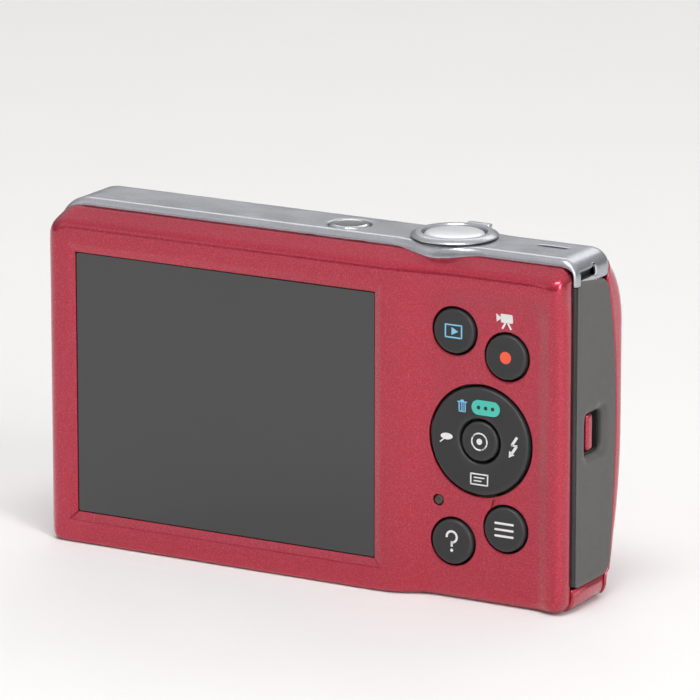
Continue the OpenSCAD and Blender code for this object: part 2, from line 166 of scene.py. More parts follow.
def newGroup(name, inputs, outputs):
    tree = bpy.data.node_groups.new(name, "ShaderNodeTree")
    for label, kind, value in inputs:
        socket = tree.interface.new_socket(name=label, in_out="INPUT", socket_type=kind)
        if value is not None:
            socket.default_value = value
    for label, kind in outputs:
        tree.interface.new_socket(name=label, in_out="OUTPUT", socket_type=kind)
    return tree, tree.nodes.new("NodeGroupInput"), tree.nodes.new("NodeGroupOutput")


def addNode(tree, kind, values=None, **settings):
    node = tree.nodes.new(kind)
    for key, value in settings.items():
        setattr(node, key, value)
    for key, value in (values or {}).items():
        node.inputs[key].default_value = value
    return node


def wire(source, output, target, entry):
    source.id_data.links.new(source.outputs[output], target.inputs[entry])


def makeGrainGroup():  # two octaves of fine unevenness: one value for tone, one for relief
    tree, start, end = newGroup(
        "surfaceGrain",
        [("Vector", "NodeSocketVector", None), ("Scale", "NodeSocketFloat", 400.0)],
        [("Tone", "NodeSocketFloat"), ("Relief", "NodeSocketFloat")])
    coarse = addNode(tree, "ShaderNodeTexNoise", {"Detail": 3.0, "Roughness": 0.55})
    fine = addNode(tree, "ShaderNodeTexNoise", {"Detail": 2.0, "Roughness": 0.6})
    times = addNode(tree, "ShaderNodeMath", {1: 6.0}, operation="MULTIPLY")
    wire(start, "Vector", coarse, "Vector")
    wire(start, "Vector", fine, "Vector")
    wire(start, "Scale", coarse, "Scale")
    wire(start, "Scale", times, 0)
    wire(times, 0, fine, "Scale")
    wire(coarse, 0, end, "Tone")
    wire(fine, 0, end, "Relief")
    return tree


def makeFlakeGroup():  # metal flakes: each cell has its own brightness and its own tilt
    tree, start, end = newGroup(
        "metalFlake",
        [("Vector", "NodeSocketVector", None), ("Scale", "NodeSocketFloat", 4000.0),
         ("Tilt", "NodeSocketFloat", 0.2)],
        [("Sparkle", "NodeSocketFloat"), ("Normal", "NodeSocketVector")])
    cells = addNode(tree, "ShaderNodeTexVoronoi", feature="F1")
    centre = addNode(tree, "ShaderNodeVectorMath", {1: (0.5, 0.5, 0.5)}, operation="SUBTRACT")
    tilt = addNode(tree, "ShaderNodeVectorMath", operation="SCALE")
    surface = addNode(tree, "ShaderNodeNewGeometry")
    total = addNode(tree, "ShaderNodeVectorMath", operation="ADD")
    unit = addNode(tree, "ShaderNodeVectorMath", operation="NORMALIZE")
    split = addNode(tree, "ShaderNodeSeparateColor")
    wire(start, "Vector", cells, "Vector")
    wire(start, "Scale", cells, "Scale")
    wire(cells, "Color", centre, 0)
    wire(centre, 0, tilt, 0)
    wire(start, "Tilt", tilt, "Scale")
    wire(tilt, 0, total, 0)
    wire(surface, "Normal", total, 1)
    wire(total, 0, unit, 0)
    wire(cells, "Color", split, 0)
    wire(split, 0, end, "Sparkle")
    wire(unit, 0, end, "Normal")
    return tree


def makeWearGroup():  # handled edges: a mask that grows where the surface is convex
    tree, start, end = newGroup(
        "edgeWear", [("Reach", "NodeSocketFloat", 0.56)], [("Mask", "NodeSocketFloat")])
    surface = addNode(tree, "ShaderNodeNewGeometry")
    ramp = addNode(tree, "ShaderNodeMapRange", {"From Min": 0.5, "To Min": 0.0, "To Max": 1.0})
    wire(surface, "Pointiness", ramp, "Value")
    wire(start, "Reach", ramp, "From Max")
    wire(ramp, 0, end, "Mask")
    return tree


def makeDustGroup():  # faint smears and specks that dull the gloss
    tree, start, end = newGroup(
        "dustFilm", [("Vector", "NodeSocketVector", None), ("Amount", "NodeSocketFloat", 0.2)],
        [("Mask", "NodeSocketFloat")])
    smear = addNode(tree, "ShaderNodeTexNoise", {"Scale": 45.0, "Detail": 4.0, "Distortion": 1.2})
    faded = addNode(tree, "ShaderNodeMapRange", {"From Min": 0.45, "From Max": 0.75})
    times = addNode(tree, "ShaderNodeMath", operation="MULTIPLY")
    wire(start, "Vector", smear, "Vector")
    wire(smear, 0, faded, "Value")
    wire(faded, 0, times, 0)
    wire(start, "Amount", times, 1)
    wire(times, 0, end, "Mask")
    return tree


print("node groups")
grainGroup = makeGrainGroup()
flakeGroup = makeFlakeGroup()
wearGroup = makeWearGroup()
dustGroup = makeDustGroup()


def layer(under, over, mask):  # lays a colour over what is there, by the mask's first output
    tree = mask.id_data
    mix = addNode(tree, "ShaderNodeMix", {7: (*over, 1)}, data_type="RGBA")
    wire(mask, 0, mix, 0)
    tree.links.new(under, mix.inputs[6])
    return mix.outputs[2]


def finish(name, look):
    material = bpy.data.materials.new(name)
    material.use_nodes = True
    tree = material.node_tree
    shader = tree.nodes["Principled BSDF"]
    place = addNode(tree, "ShaderNodeTexCoord")
    grain = addNode(tree, "ShaderNodeGroup", {"Scale": look["grain"]}, node_tree=grainGroup)
    wire(place, "Object", grain, "Vector")
    base = Vector(look["base"])
    tone = addNode(tree, "ShaderNodeMix", {6: (*(base * look["deep"]), 1), 7: (*base, 1)}, data_type="RGBA")
    wire(grain, "Tone", tone, 0)
    colour = tone.outputs[2]
    normal = None
    if look.get("flake"):
        flake = addNode(tree, "ShaderNodeGroup", {"Scale": look["flakeScale"], "Tilt": look["flake"]},
                        node_tree=flakeGroup)
        wire(place, "Object", flake, "Vector")
        picked = addNode(tree, "ShaderNodeMapRange", {"From Min": 0.6, "From Max": 1.0, "To Max": look["glint"]})
        wire(flake, "Sparkle", picked, "Value")
        colour = layer(colour, look["sparkle"], picked)
        normal = flake.outputs["Normal"]
    if look.get("wear"):
        wear = addNode(tree, "ShaderNodeGroup", {"Reach": 0.58}, node_tree=wearGroup)
        scaled = addNode(tree, "ShaderNodeMath", {1: look["wear"]}, operation="MULTIPLY", use_clamp=True)
        wire(wear, "Mask", scaled, 0)
        colour = layer(colour, look.get("wearColour", base + Vector((0.2, 0.2, 0.2))), scaled)
    tree.links.new(colour, shader.inputs["Base Color"])
    low, high = look["rough"]
    spread = addNode(tree, "ShaderNodeMapRange", {"From Min": 0.3, "From Max": 0.7, "To Min": low, "To Max": high})
    wire(grain, "Tone", spread, "Value")
    dust = addNode(tree, "ShaderNodeGroup", {"Amount": look.get("dust", 0.06)}, node_tree=dustGroup)
    wire(place, "Object", dust, "Vector")
    dulled = addNode(tree, "ShaderNodeMath", operation="ADD", use_clamp=True)
    wire(spread, 0, dulled, 0)
    wire(dust, "Mask", dulled, 1)
    wire(dulled, 0, shader, "Roughness")
    if look.get("bump"):
        bump = addNode(tree, "ShaderNodeBump", {"Strength": look["bump"], "Distance": 0.0001})
        wire(grain, "Relief", bump, "Height")
        if normal:
            tree.links.new(normal, bump.inputs["Normal"])
        normal = bump.outputs["Normal"]
    if normal:
        tree.links.new(normal, shader.inputs["Normal"])
    for label, key in (("Metallic", "metallic"), ("Coat Weight", "coat"), ("Coat Roughness", "coatRough"),
                       ("IOR", "ior"), ("Transmission Weight", "clear"), ("Sheen Weight", "sheen")):
        if key in look:
            shader.inputs[label].default_value = look[key]
    return material


print("finishes")
finishes = {
    "redPaint": {"base": (0.44, 0.009, 0.034), "deep": 0.92, "rough": (0.34, 0.40), "metallic": 0.8,
                 "coat": 1.0, "coatRough": 0.06, "grain": 60, "flake": 0.14, "flakeScale": 9000,
                 "sparkle": (0.85, 0.10, 0.2), "glint": 0.4, "wear": 0.15, "wearColour": (0.55, 0.05, 0.08)},
    "silverTop": {"base": (0.47, 0.48, 0.52), "deep": 0.93, "rough": (0.28, 0.34), "metallic": 0.9,
                  "grain": 220, "flake": 0.1, "flakeScale": 7000, "sparkle": (0.7, 0.72, 0.76),
                  "glint": 0.3, "wear": 0.3},
    "brightMetal": {"base": (0.62, 0.64, 0.67), "deep": 0.93, "rough": (0.16, 0.22), "metallic": 1.0,
                    "grain": 300, "wear": 0.3},
    "whiteSatin": {"base": (0.66, 0.67, 0.69), "deep": 0.96, "rough": (0.28, 0.34), "metallic": 0.35,
                   "grain": 260, "wear": 0.2},
    "gripRubber": {"base": (0.085, 0.083, 0.08), "deep": 0.8, "rough": (0.55, 0.68), "grain": 700,
                   "bump": 0.5, "wear": 0.2, "sheen": 0.1},
    "blackCap": {"base": (0.021, 0.021, 0.023), "deep": 0.8, "rough": (0.38, 0.46), "grain": 900,
                 "bump": 0.25, "wear": 0.3, "wearColour": (0.09, 0.09, 0.095)},
    "darkPlastic": {"base": (0.02, 0.02, 0.022), "deep": 0.7, "rough": (0.5, 0.62), "grain": 600,
                    "bump": 0.3},
    "screenGlass": {"base": (0.008, 0.008, 0.009), "deep": 0.85, "rough": (0.09, 0.13), "grain": 25,
                    "coat": 1.0, "coatRough": 0.03, "dust": 0.03},
    "screenLayers": {"base": (0.06, 0.06, 0.075), "deep": 0.9, "rough": (0.3, 0.4), "grain": 500},
    "whitePlastic": {"base": (0.75, 0.75, 0.73), "deep": 0.93, "rough": (0.4, 0.5), "grain": 400},
    "plainSteel": {"base": (0.46, 0.46, 0.48), "deep": 0.85, "rough": (0.28, 0.42), "metallic": 1.0,
                   "grain": 350, "bump": 0.15},
    "boardGreen": {"base": (0.02, 0.11, 0.05), "deep": 0.7, "rough": (0.35, 0.5), "grain": 900,
                   "bump": 0.3},
    "chipBlack": {"base": (0.02, 0.02, 0.02), "deep": 0.75, "rough": (0.5, 0.6), "grain": 900, "bump": 0.3},
    "lensGlass": {"base": (0.93, 0.95, 1.0), "deep": 0.98, "rough": (0.0, 0.01), "grain": 100,
                  "clear": 1.0, "ior": 1.52, "dust": 0.0},
    "flashPlastic": {"base": (0.86, 0.88, 0.9), "deep": 0.97, "rough": (0.08, 0.14), "grain": 350,
                     "clear": 0.75, "ior": 1.49, "bump": 0.1, "dust": 0.02},
    "lampPlastic": {"base": (0.75, 0.3, 0.12), "deep": 0.9, "rough": (0.12, 0.2), "grain": 350,
                    "clear": 0.5, "ior": 1.49, "dust": 0.02},
    "smokedLamp": {"base": (0.035, 0.033, 0.028), "deep": 0.8, "rough": (0.18, 0.25), "grain": 400,
                   "coat": 0.5, "coatRough": 0.1},
    "batterySkin": {"base": (0.035, 0.036, 0.04), "deep": 0.8, "rough": (0.4, 0.5), "grain": 500, "bump": 0.1},
    "cardBlue": {"base": (0.02, 0.035, 0.15), "deep": 0.85, "rough": (0.4, 0.5), "grain": 500},
    "latchOrange": {"base": (0.75, 0.22, 0.02), "deep": 0.9, "rough": (0.4, 0.5), "grain": 500},
    "contactGold": {"base": (0.8, 0.55, 0.2), "deep": 0.9, "rough": (0.2, 0.3), "metallic": 1.0, "grain": 500},
    "sensorFace": {"base": (0.05, 0.03, 0.09), "deep": 0.8, "rough": (0.15, 0.25), "grain": 900, "coat": 0.5},
    "printWhite": {"base": (0.78, 0.78, 0.78), "deep": 0.95, "rough": (0.45, 0.55), "grain": 800},
    "printBlue": {"base": (0.22, 0.55, 0.78), "deep": 0.94, "rough": (0.45, 0.55), "grain": 800},
    "printTeal": {"base": (0.06, 0.52, 0.42), "deep": 0.94, "rough": (0.45, 0.55), "grain": 800},
    "printOrange": {"base": (0.85, 0.10, 0.045), "deep": 0.94, "rough": (0.4, 0.5), "grain": 800},
    "printPale": {"base": (0.25, 0.36, 0.5), "deep": 0.94, "rough": (0.45, 0.55), "grain": 800},
}
paint = {name: finish(name, look) for name, look in finishes.items()}
makeCamera()
makeStudio()


def makePiece(name, bm, material, rides, stands=(), sharp=38):
    for edge in bm.edges:
        edge.smooth = edge.calc_face_angle(0) < math.radians(sharp)
    for face in bm.faces:
        face.smooth = True
    bmesh.ops.scale(bm, vec=(mm, mm, mm), verts=bm.verts)
    mesh = bpy.data.meshes.new(name)
    bm.to_mesh(mesh)
    bm.free()
    mesh.materials.append(paint[material])
    piece = bpy.data.objects.new(name, mesh)
    scene.collection.objects.link(piece)
    if rides:
        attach(piece, rides)
    if stands:
        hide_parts(*stands)
    return piece


def thicken(piece, wall):
    solid = piece.modifiers.new("wall", "SOLIDIFY")
    solid.thickness = wall * mm
    solid.offset = -1


def bevel(bm, edges, width, segments, clamp=False):
    bmesh.ops.bevel(bm, geom=edges, offset=width, segments=segments, profile=0.5, affect="EDGES",
                    clamp_overlap=clamp, material=-1)


def softEdges(bm, width, segments=3):
    sharp = [e for e in bm.edges if e.calc_face_angle(0) > math.radians(30)]
    bevel(bm, sharp, width, segments, clamp=True)


def lathe(bm, profile, centre, axis, segments=64):  # profile is (radius, height along the axis) pairs
    centre, axis = Vector(centre), Vector(axis).normalized()
    side = axis.orthogonal().normalized()
    verts = [bm.verts.new(centre + side * r + axis * h) for r, h in profile]
    edges = [bm.edges.new(pair) for pair in zip(verts, verts[1:])]
    bmesh.ops.spin(bm, geom=verts + edges, cent=centre, axis=axis, dvec=(0, 0, 0),
                   angle=math.tau, steps=segments, use_merge=True)
    bmesh.ops.remove_doubles(bm, verts=bm.verts, dist=0.0005)
    bmesh.ops.recalc_face_normals(bm, faces=bm.faces)


def faceOut(bm, near, out):  # turns the mesh so that the face nearest the point looks out
    bmesh.ops.recalc_face_normals(bm, faces=bm.faces)
    sample = min(bm.faces, key=lambda f: (f.calc_center_median() - Vector(near)).length)
    if sample.normal.dot(Vector(out)) < 0:
        bmesh.ops.reverse_faces(bm, faces=bm.faces)


def join(bm, part):
    mesh = bpy.data.meshes.new("part")
    part.to_mesh(mesh)
    part.free()
    bm.from_mesh(mesh)
    bpy.data.meshes.remove(mesh)


def onRim(hole, dx, dz, share):  # carries a direction to the hole's rim, or to a share of its lip
    wide, tall, power = hole["wide"], hole["tall"], hole["power"]
    a, b = dx / wide, dz / tall
    size = (abs(a) ** power + abs(b) ** power) ** (1 / power)
    grow = (1 + share * hole["lip"] / wide) / size
    return a * grow * wide, b * grow * tall


def block(bm, low, high):
    low, high = Vector(low), Vector(high)
    made = bmesh.ops.create_cube(bm, size=1)
    bmesh.ops.scale(bm, vec=high - low, verts=made["verts"])
    bmesh.ops.translate(bm, vec=(low + high) / 2, verts=made["verts"])
    return made["verts"]


def makeBlock(name, corners, soft, material, rides, stands=(), sharp=38, segments=3):
    bm = bmesh.new()
    block(bm, *corners)
    softEdges(bm, soft, segments)
    makePiece(name, bm, material, rides, stands, sharp)


def spread(stops, step):  # grid lines through the stops, about one step apart
    out = [stops[0]]
    for a, b in zip(stops, stops[1:]):
        count = max(1, round((b - a) / step))
        out += [a + (b - a) * k / count for k in range(1, count + 1)]
    return out


def fineEnds(lines, low, high, widths, counts):  # closer lines in a strip at each end
    inner = [v for v in lines if low + widths[0] < v < high - widths[1]]
    first = [low + widths[0] * k / counts[0] for k in range(counts[0] + 1)]
    last = [high - widths[1] * k / counts[1] for k in range(counts[1], -1, -1)]
    return sorted(set(round(v, 4) for v in first + inner + last))


def nearest(values, x):
    return min(values, key=lambda v: abs(v - x))


class Sheet:  # a grid of faces with round holes and rectangular windows
    def __init__(self, columns, rows):
        self.bm = bmesh.new()
        self.columns, self.rows = columns, rows
        made = bmesh.ops.create_grid(self.bm, x_segments=len(columns) - 1, y_segments=len(rows) - 1, size=1)
        assert len(made["verts"]) == len(columns) * len(rows)
        self.flat = {}
        for v in made["verts"]:
            i = round((v.co.x + 1) / 2 * (len(columns) - 1))
            j = round((v.co.y + 1) / 2 * (len(rows) - 1))
            self.flat[v] = (columns[i], rows[j])
        self.holes = []

    def hole(self, x, z, wide, tall=None, lip=0.25, power=2, reach=0.6):
        tall = tall or wide
        share = 0.886 if power == 2 else 0.97
        sides = [nearest(self.columns, x - share * (wide + lip)), nearest(self.columns, x + share * (wide + lip)),
                 nearest(self.rows, z - share * (tall + lip)), nearest(self.rows, z + share * (tall + lip))]
        self.holes.append({"x": x, "z": z, "wide": wide, "tall": tall, "lip": lip, "power": power,
                           "reach": reach, "sides": sides})

    def atEdge(self, x, z):
        return x in (self.columns[0], self.columns[-1]) or z in (self.rows[0], self.rows[-1])

    def ring(self, hole, x, z):  # how far out a point lies: 1 on the hole's square
        (x0, x1, z0, z1), cx, cz = hole["sides"], hole["x"], hole["z"]
        a = (x - cx) / (x1 - cx if x > cx else cx - x0)
        b = (z - cz) / (z1 - cz if z > cz else cz - z0)
        return a, b, max(abs(a), abs(b))

    def warp(self, x, z):
        home = (x, z)
        for hole in self.holes:
            a, b, c = self.ring(hole, *home)
            if 0 < c < 1 + hole["reach"]:
                share = 1 if c <= 1 else 1 - smooth((c - 1) / hole["reach"])
                for other in self.holes:  # a neighbour's rim keeps its own shape
                    if other is not hole:
                        share *= smooth((self.ring(other, *home)[2] - 1) / 0.35)
                n = hole["power"]
                size = c / (abs(a) ** n + abs(b) ** n) ** (1 / n)
                x += (hole["x"] + (hole["wide"] + hole["lip"]) * size * a - x) * share
                z += (hole["z"] + (hole["tall"] + hole["lip"]) * size * b - z) * share
        return x, z

    def remove(self, inside):  # deletes the faces whose flat middle is inside
        def middle(face, axis):
            return sum(self.flat[v][axis] for v in face.verts) / len(face.verts)

        doomed = [face for face in self.bm.faces if inside(middle(face, 0), middle(face, 1))]
        bmesh.ops.delete(self.bm, geom=doomed, context="FACES")
        alive = set(self.bm.verts)
        self.flat = {v: p for v, p in self.flat.items() if v in alive}

    def cutWindow(self, low, high):
        self.remove(lambda x, z: low[0] < x < high[0] and low[1] < z < high[1])
        return [e for e in self.bm.edges if e.is_boundary and all(
            low[0] - 0.01 <= self.flat[v][0] <= high[0] + 0.01
            and low[1] - 0.01 <= self.flat[v][1] <= high[1] + 0.01 for v in e.verts)]

    def cutHoles(self):
        self.remove(lambda x, z: any(self.ring(hole, x, z)[2] < 1 for hole in self.holes))
        return [[e for e in self.bm.edges if e.is_boundary and all(
            v in self.flat and abs(self.ring(hole, *self.flat[v])[2] - 1) < 0.02 for v in e.verts)]
            for hole in self.holes]


def pull(bm, edges, move):  # extrudes a border and moves each new vertex; move gets (vertex, its old neighbour)
    made = bmesh.ops.extrude_edge_only(bm, edges=edges)["geom"]
    verts = [g for g in made if isinstance(g, bmesh.types.BMVert)]
    fresh = set(verts)
    edges = [g for g in made if isinstance(g, bmesh.types.BMEdge)]
    for v in verts:
        old = next(e.other_vert(v) for e in v.link_edges if e.other_vert(v) not in fresh)
        move(v, old)
    return edges


def sinkRims(sheet, rims, steps, plane, sign, level=None):  # carries each rim inwards and down, step by step
    a, b = plane
    c = 3 - a - b
    for hole, rim in zip(sheet.holes, rims):
        heights = {}
        for share, down in steps:

            def sink(v, old):
                heights[v] = heights.get(old, old.co[c] if level is None else level)
                da, db = onRim(hole, old.co[a] - hole["x"], old.co[b] - hole["z"], share)
                v.co[a], v.co[b], v.co[c] = hole["x"] + da, hole["z"] + db, heights[v] + sign * down

            rim = pull(sheet.bm, rim, sink)


rear = {
    "wall": 0.8,
    "edge": 2.8,           # how far in from the side the edge starts to turn
    "edgeTop": 3.5,
    "bezel": 1.5,
    "bezelDepth": 0.62,
    "corners": {(1, 1): 4.7, (1, -1): 2.2, (-1, 1): 2.4, (-1, -1): 2.6},
    "step": 0.5,
    "topLift": 0.8,        # how far the recess fades out below the top edge
    "sideTurn": (2.6, 2.3),        # edge radius on the far side and on the grip side
    "holes": [("playback_button", 3.95, 0.25), ("movie_button", 3.95, 0.25), ("help_button", 3.95, 0.25),
              ("menu_button", 3.95, 0.25), ("dpad_ring", 9.1, 0.25), ("status_led", 0.92, 0.12)],
}
windowLow, windowHigh = boxOf("display_window")


def rearField(x, z):
    flare = 8.2 + 5 * smooth((z - 44) / 8)
    recess = body["panelRecess"] * smooth((-16 - x) / flare)
    side = smooth((-x - 41.4) / 3.4) * body["ridge"] / body["panelRecess"]
    top = smooth((z - 46.5) / 5.8) * rear["topLift"]
    return body["rear"] - recess * (1 - side) * (1 - top)


def rearRound(x, z, low, high, radii):
    for sx in (1, -1):
        for sz in (1, -1):
            r = radii[sx, sz]
            cx = (high[0] if sx > 0 else low[0]) - sx * r
            cz = (high[1] if sz > 0 else low[1]) - sz * r
            a, b = (x - cx) * sx / r, (z - cz) * sz / r
            if a > 0 and b > 0:
                return (cx + sx * r * a * math.sqrt(1 - b * b / 2), cz + sz * r * b * math.sqrt(1 - a * a / 2),
                        math.atan2(b * math.sqrt(1 - a * a / 2), a * math.sqrt(1 - b * b / 2)), sx, sz)
    return x, z, None, 0, 0


def roundEdge(t, deep, inset, radius):  # flat, a quarter turn, then straight down: (share outwards, drop)
    turn = min(radius, deep * 0.85)
    bend, wall = 0.12, 0.85
    if t < bend:
        return t / bend * (1 - radius / inset), 0
    if t < wall:
        angle = (t - bend) / (wall - bend) * math.pi / 2
        return 1 - (1 - math.sin(angle)) * radius / inset, turn * (1 - math.cos(angle))
    return 1, turn + (deep - turn) * (t - wall) / (1 - wall)


def facetEdge(t, deep, inset):  # flat, a soft bend, then the slanted facet
    slope = body["facetSlope"]
    bend = slope * deep
    soft = 1.0
    drop = min(1.1, 0.5 * deep)
    if t < 0.12:
        return t / 0.12 * (1 - (bend + soft) / inset), 0
    if t < 0.7:
        s = (t - 0.12) / 0.58
        away = (1 - s) ** 2 * (bend + soft) + 2 * s * (1 - s) * bend + s * s * (bend - slope * drop)
        return 1 - away / inset, s * s * drop
    s = (t - 0.7) / 0.3
    return 1 - (bend - slope * drop) * (1 - s) / inset, drop + (deep - drop) * s


def makeRearCover():
    half, inset, insetTop = body["halfWidth"], rear["edge"], rear["edgeTop"]
    low, high = (-half + inset, inset), (half - inset, body["seamTop"] - insetTop)
    inner = {key: max(r - inset, 0.8) for key, r in rear["corners"].items()}
    bezelLow = (windowLow.x - rear["bezel"] - 0.1, windowLow.z - rear["bezel"] - 0.1)
    bezelHigh = (windowHigh.x + rear["bezel"] + 0.1, windowHigh.z + rear["bezel"] + 0.1)
    columns = fineEnds(spread([low[0], low[0] + inner[-1, 1], bezelLow[0], bezelHigh[0], high[0]], rear["step"]),
                       low[0], high[0], (0.8, 0.35), (6, 4))
    rows = fineEnds(spread([low[1], bezelLow[1], bezelHigh[1], high[1]], rear["step"]),
                    low[1], high[1], (0.45, 0.8), (5, 6))
    sheet = Sheet(columns, rows)
    for node, radius, lip in rear["holes"]:
        spot = middleOf(node)
        sheet.hole(spot.x, spot.z, radius, lip=lip)
    bm = sheet.bm
    rims = sheet.cutHoles()
    bezelEdges = sheet.cutWindow(bezelLow, bezelHigh)
    border = {}
    for v, (x, z) in sheet.flat.items():
        px, pz, angle, sx, sz = rearRound(x, z, low, high, inner)
        px, pz = sheet.warp(px, pz)
        v.co = (px, rearField(px, pz), pz)
        if sheet.atEdge(x, z):
            if angle is None:
                sx = 1 if x == columns[-1] else -1 if x == columns[0] else 0
                sz = 1 if z == rows[-1] else -1 if z == rows[0] else 0
                side = half if sx > 0 else -body["gripSide"]
                out = Vector((side if sx else px, 0, pz if sx else (body["seamTop"] if sz > 0 else 0)))
                border[v] = (out, v.co.copy(), sx, sz, 1 if sz else 0)
            else:
                r = rear["corners"][sx, sz]
                cx = half - r if sx > 0 else r - body["gripSide"]
                cz = body["seamTop"] - r if sz > 0 else r
                out = Vector((cx + sx * r * math.cos(angle), 0, cz + sz * r * math.sin(angle)))
                border[v] = (out, v.co.copy(), sx, sz, smooth(angle / (math.pi / 2)))
    edges = [e for e in bm.edges if e.is_boundary and all(v in border for v in e.verts)]
    root = {v: v for v in border}
    loops = 15
    for k in range(1, loops + 1):
        t = k / loops

        def move(v, old):
            start = root[old]
            root[v] = start
            out, at, sx, sz, upright = border[start]
            deep = at.y - body["seam"]
            x = at.x
            under = 0.9 + 1.3 * smooth((-x - 12) / 12)
            sideShare, sideDrop = roundEdge(t, deep, inset, rear["sideTurn"][0 if sx > 0 else 1])
            if sz > 0:
                share, drop = facetEdge(t, deep, insetTop)
            else:
                share, drop = roundEdge(t, deep, inset, under)
            share = sideShare + (share - sideShare) * upright
            drop = sideDrop + (drop - sideDrop) * upright
            v.co = (at.x + (out.x - at.x) * share, at.y - drop, at.z + (out.z - at.z) * share)

        edges = pull(bm, edges, move)
    sinkRims(sheet, rims, ((0.45, 0.03), (0.12, 0.1), (0, 0.24), (0, 1.5)), (0, 2), -1)
    first = {}
    mid = Vector(((bezelLow[0] + bezelHigh[0]) / 2, 0, (bezelLow[1] + bezelHigh[1]) / 2))
    halfSize = Vector(((bezelHigh[0] - bezelLow[0]) / 2, 0, (bezelHigh[1] - bezelLow[1]) / 2))
    for into, down in ((0.14, 0.012), (0.3, 0.07), (rear["bezel"] - 0.12, 0.56), (rear["bezel"], rear["bezelDepth"]),
                       (rear["bezel"] + 0.02, 0.75), (rear["bezel"] + 0.02, 1.7)):

        def slope(v, old):
            start = first.get(old) or old.co.copy()
            first[v] = start
            v.co = (mid.x + (start.x - mid.x) * (halfSize.x - into) / halfSize.x, start.y - down,
                    mid.z + (start.z - mid.z) * (halfSize.z - into) / halfSize.z)

        bezelEdges = pull(bm, bezelEdges, slope)
    faceOut(bm, (-20, 11, 51), (0, 1, 0))
    piece = makePiece("rearShell", bm, "redPaint", "camera", ["rear_cover"], 42)
    thicken(piece, rear["wall"])


print("rear cover")
makeRearCover()


def makeKnob(name, node, profile, rides, material, axis=(0, 1, 0), segments=96):  # absolute heights
    spot = middleOf(node)
    centre = (spot.x, 0, spot.z) if axis[1] else (spot.x, spot.y, 0)
    bm = bmesh.new()
    lathe(bm, profile, centre, axis, segments)
    makePiece(name, bm, material, rides, [node], 50)


keys = {
    "radius": 3.6,
    "top": 10.0,
    "base": 7.2,
    "padBase": 8.0,        # clears the rocking plate under the pad
    "rim": 0.34,           # width of the bevel round each cap
    "hollow": 0.07,
    "padRadius": 8.68,
    "padBore": 3.66,
    "centreRadius": 3.2,
}


def capProfile(radius):
    top, rim = keys["top"], keys["rim"]
    return [(0, top - keys["hollow"]), (radius * 0.5, top - keys["hollow"] * 0.8),
            (radius - rim - 0.4, top - keys["hollow"] * 0.4), (radius - rim - 0.12, top),
            (radius - rim, top - 0.01), (radius - rim * 0.35, top - 0.12), (radius - 0.04, top - 0.24),
            (radius, top - 0.36), (radius, keys["base"]), (0, keys["base"])]


def makeKeys():
    for label in ("playback", "movie", "help", "menu"):
        makeKnob(label + "Cap", label + "_button", capProfile(keys["radius"]), label + "_key",
                 "blackCap")
    makeKnob("centreCap", "func_button", capProfile(keys["centreRadius"]), "func_key", "blackCap")
    top, bore, out = keys["top"], keys["padBore"], keys["padRadius"]
    low = keys["padBase"]
    ring = [(bore, low), (bore, top - 0.4), (bore + 0.08, top - 0.2), (bore + 0.3, top - 0.07),
            (bore + 0.8, top - 0.1), (out - 3, top - 0.13), (out - 1, top - 0.05), (out - 0.5, top),
            (out - 0.36, top - 0.01), (out - 0.12, top - 0.13), (out - 0.03, top - 0.26), (out, top - 0.4),
            (out, low), (bore, low)]
    makeKnob("padRing", "dpad_ring", ring, "pad_ring", "blackCap", segments=144)
    led = boxOf("status_led")[1].y
    makeKnob("statusLens", "status_led", [(0, led), (0.35, led - 0.04), (0.62, led - 0.14), (0.78, led - 0.32),
             (0.78, led - 1.6), (0, led - 1.6)], "camera", "smokedLamp", segments=40)


print("keys")
makeKeys()

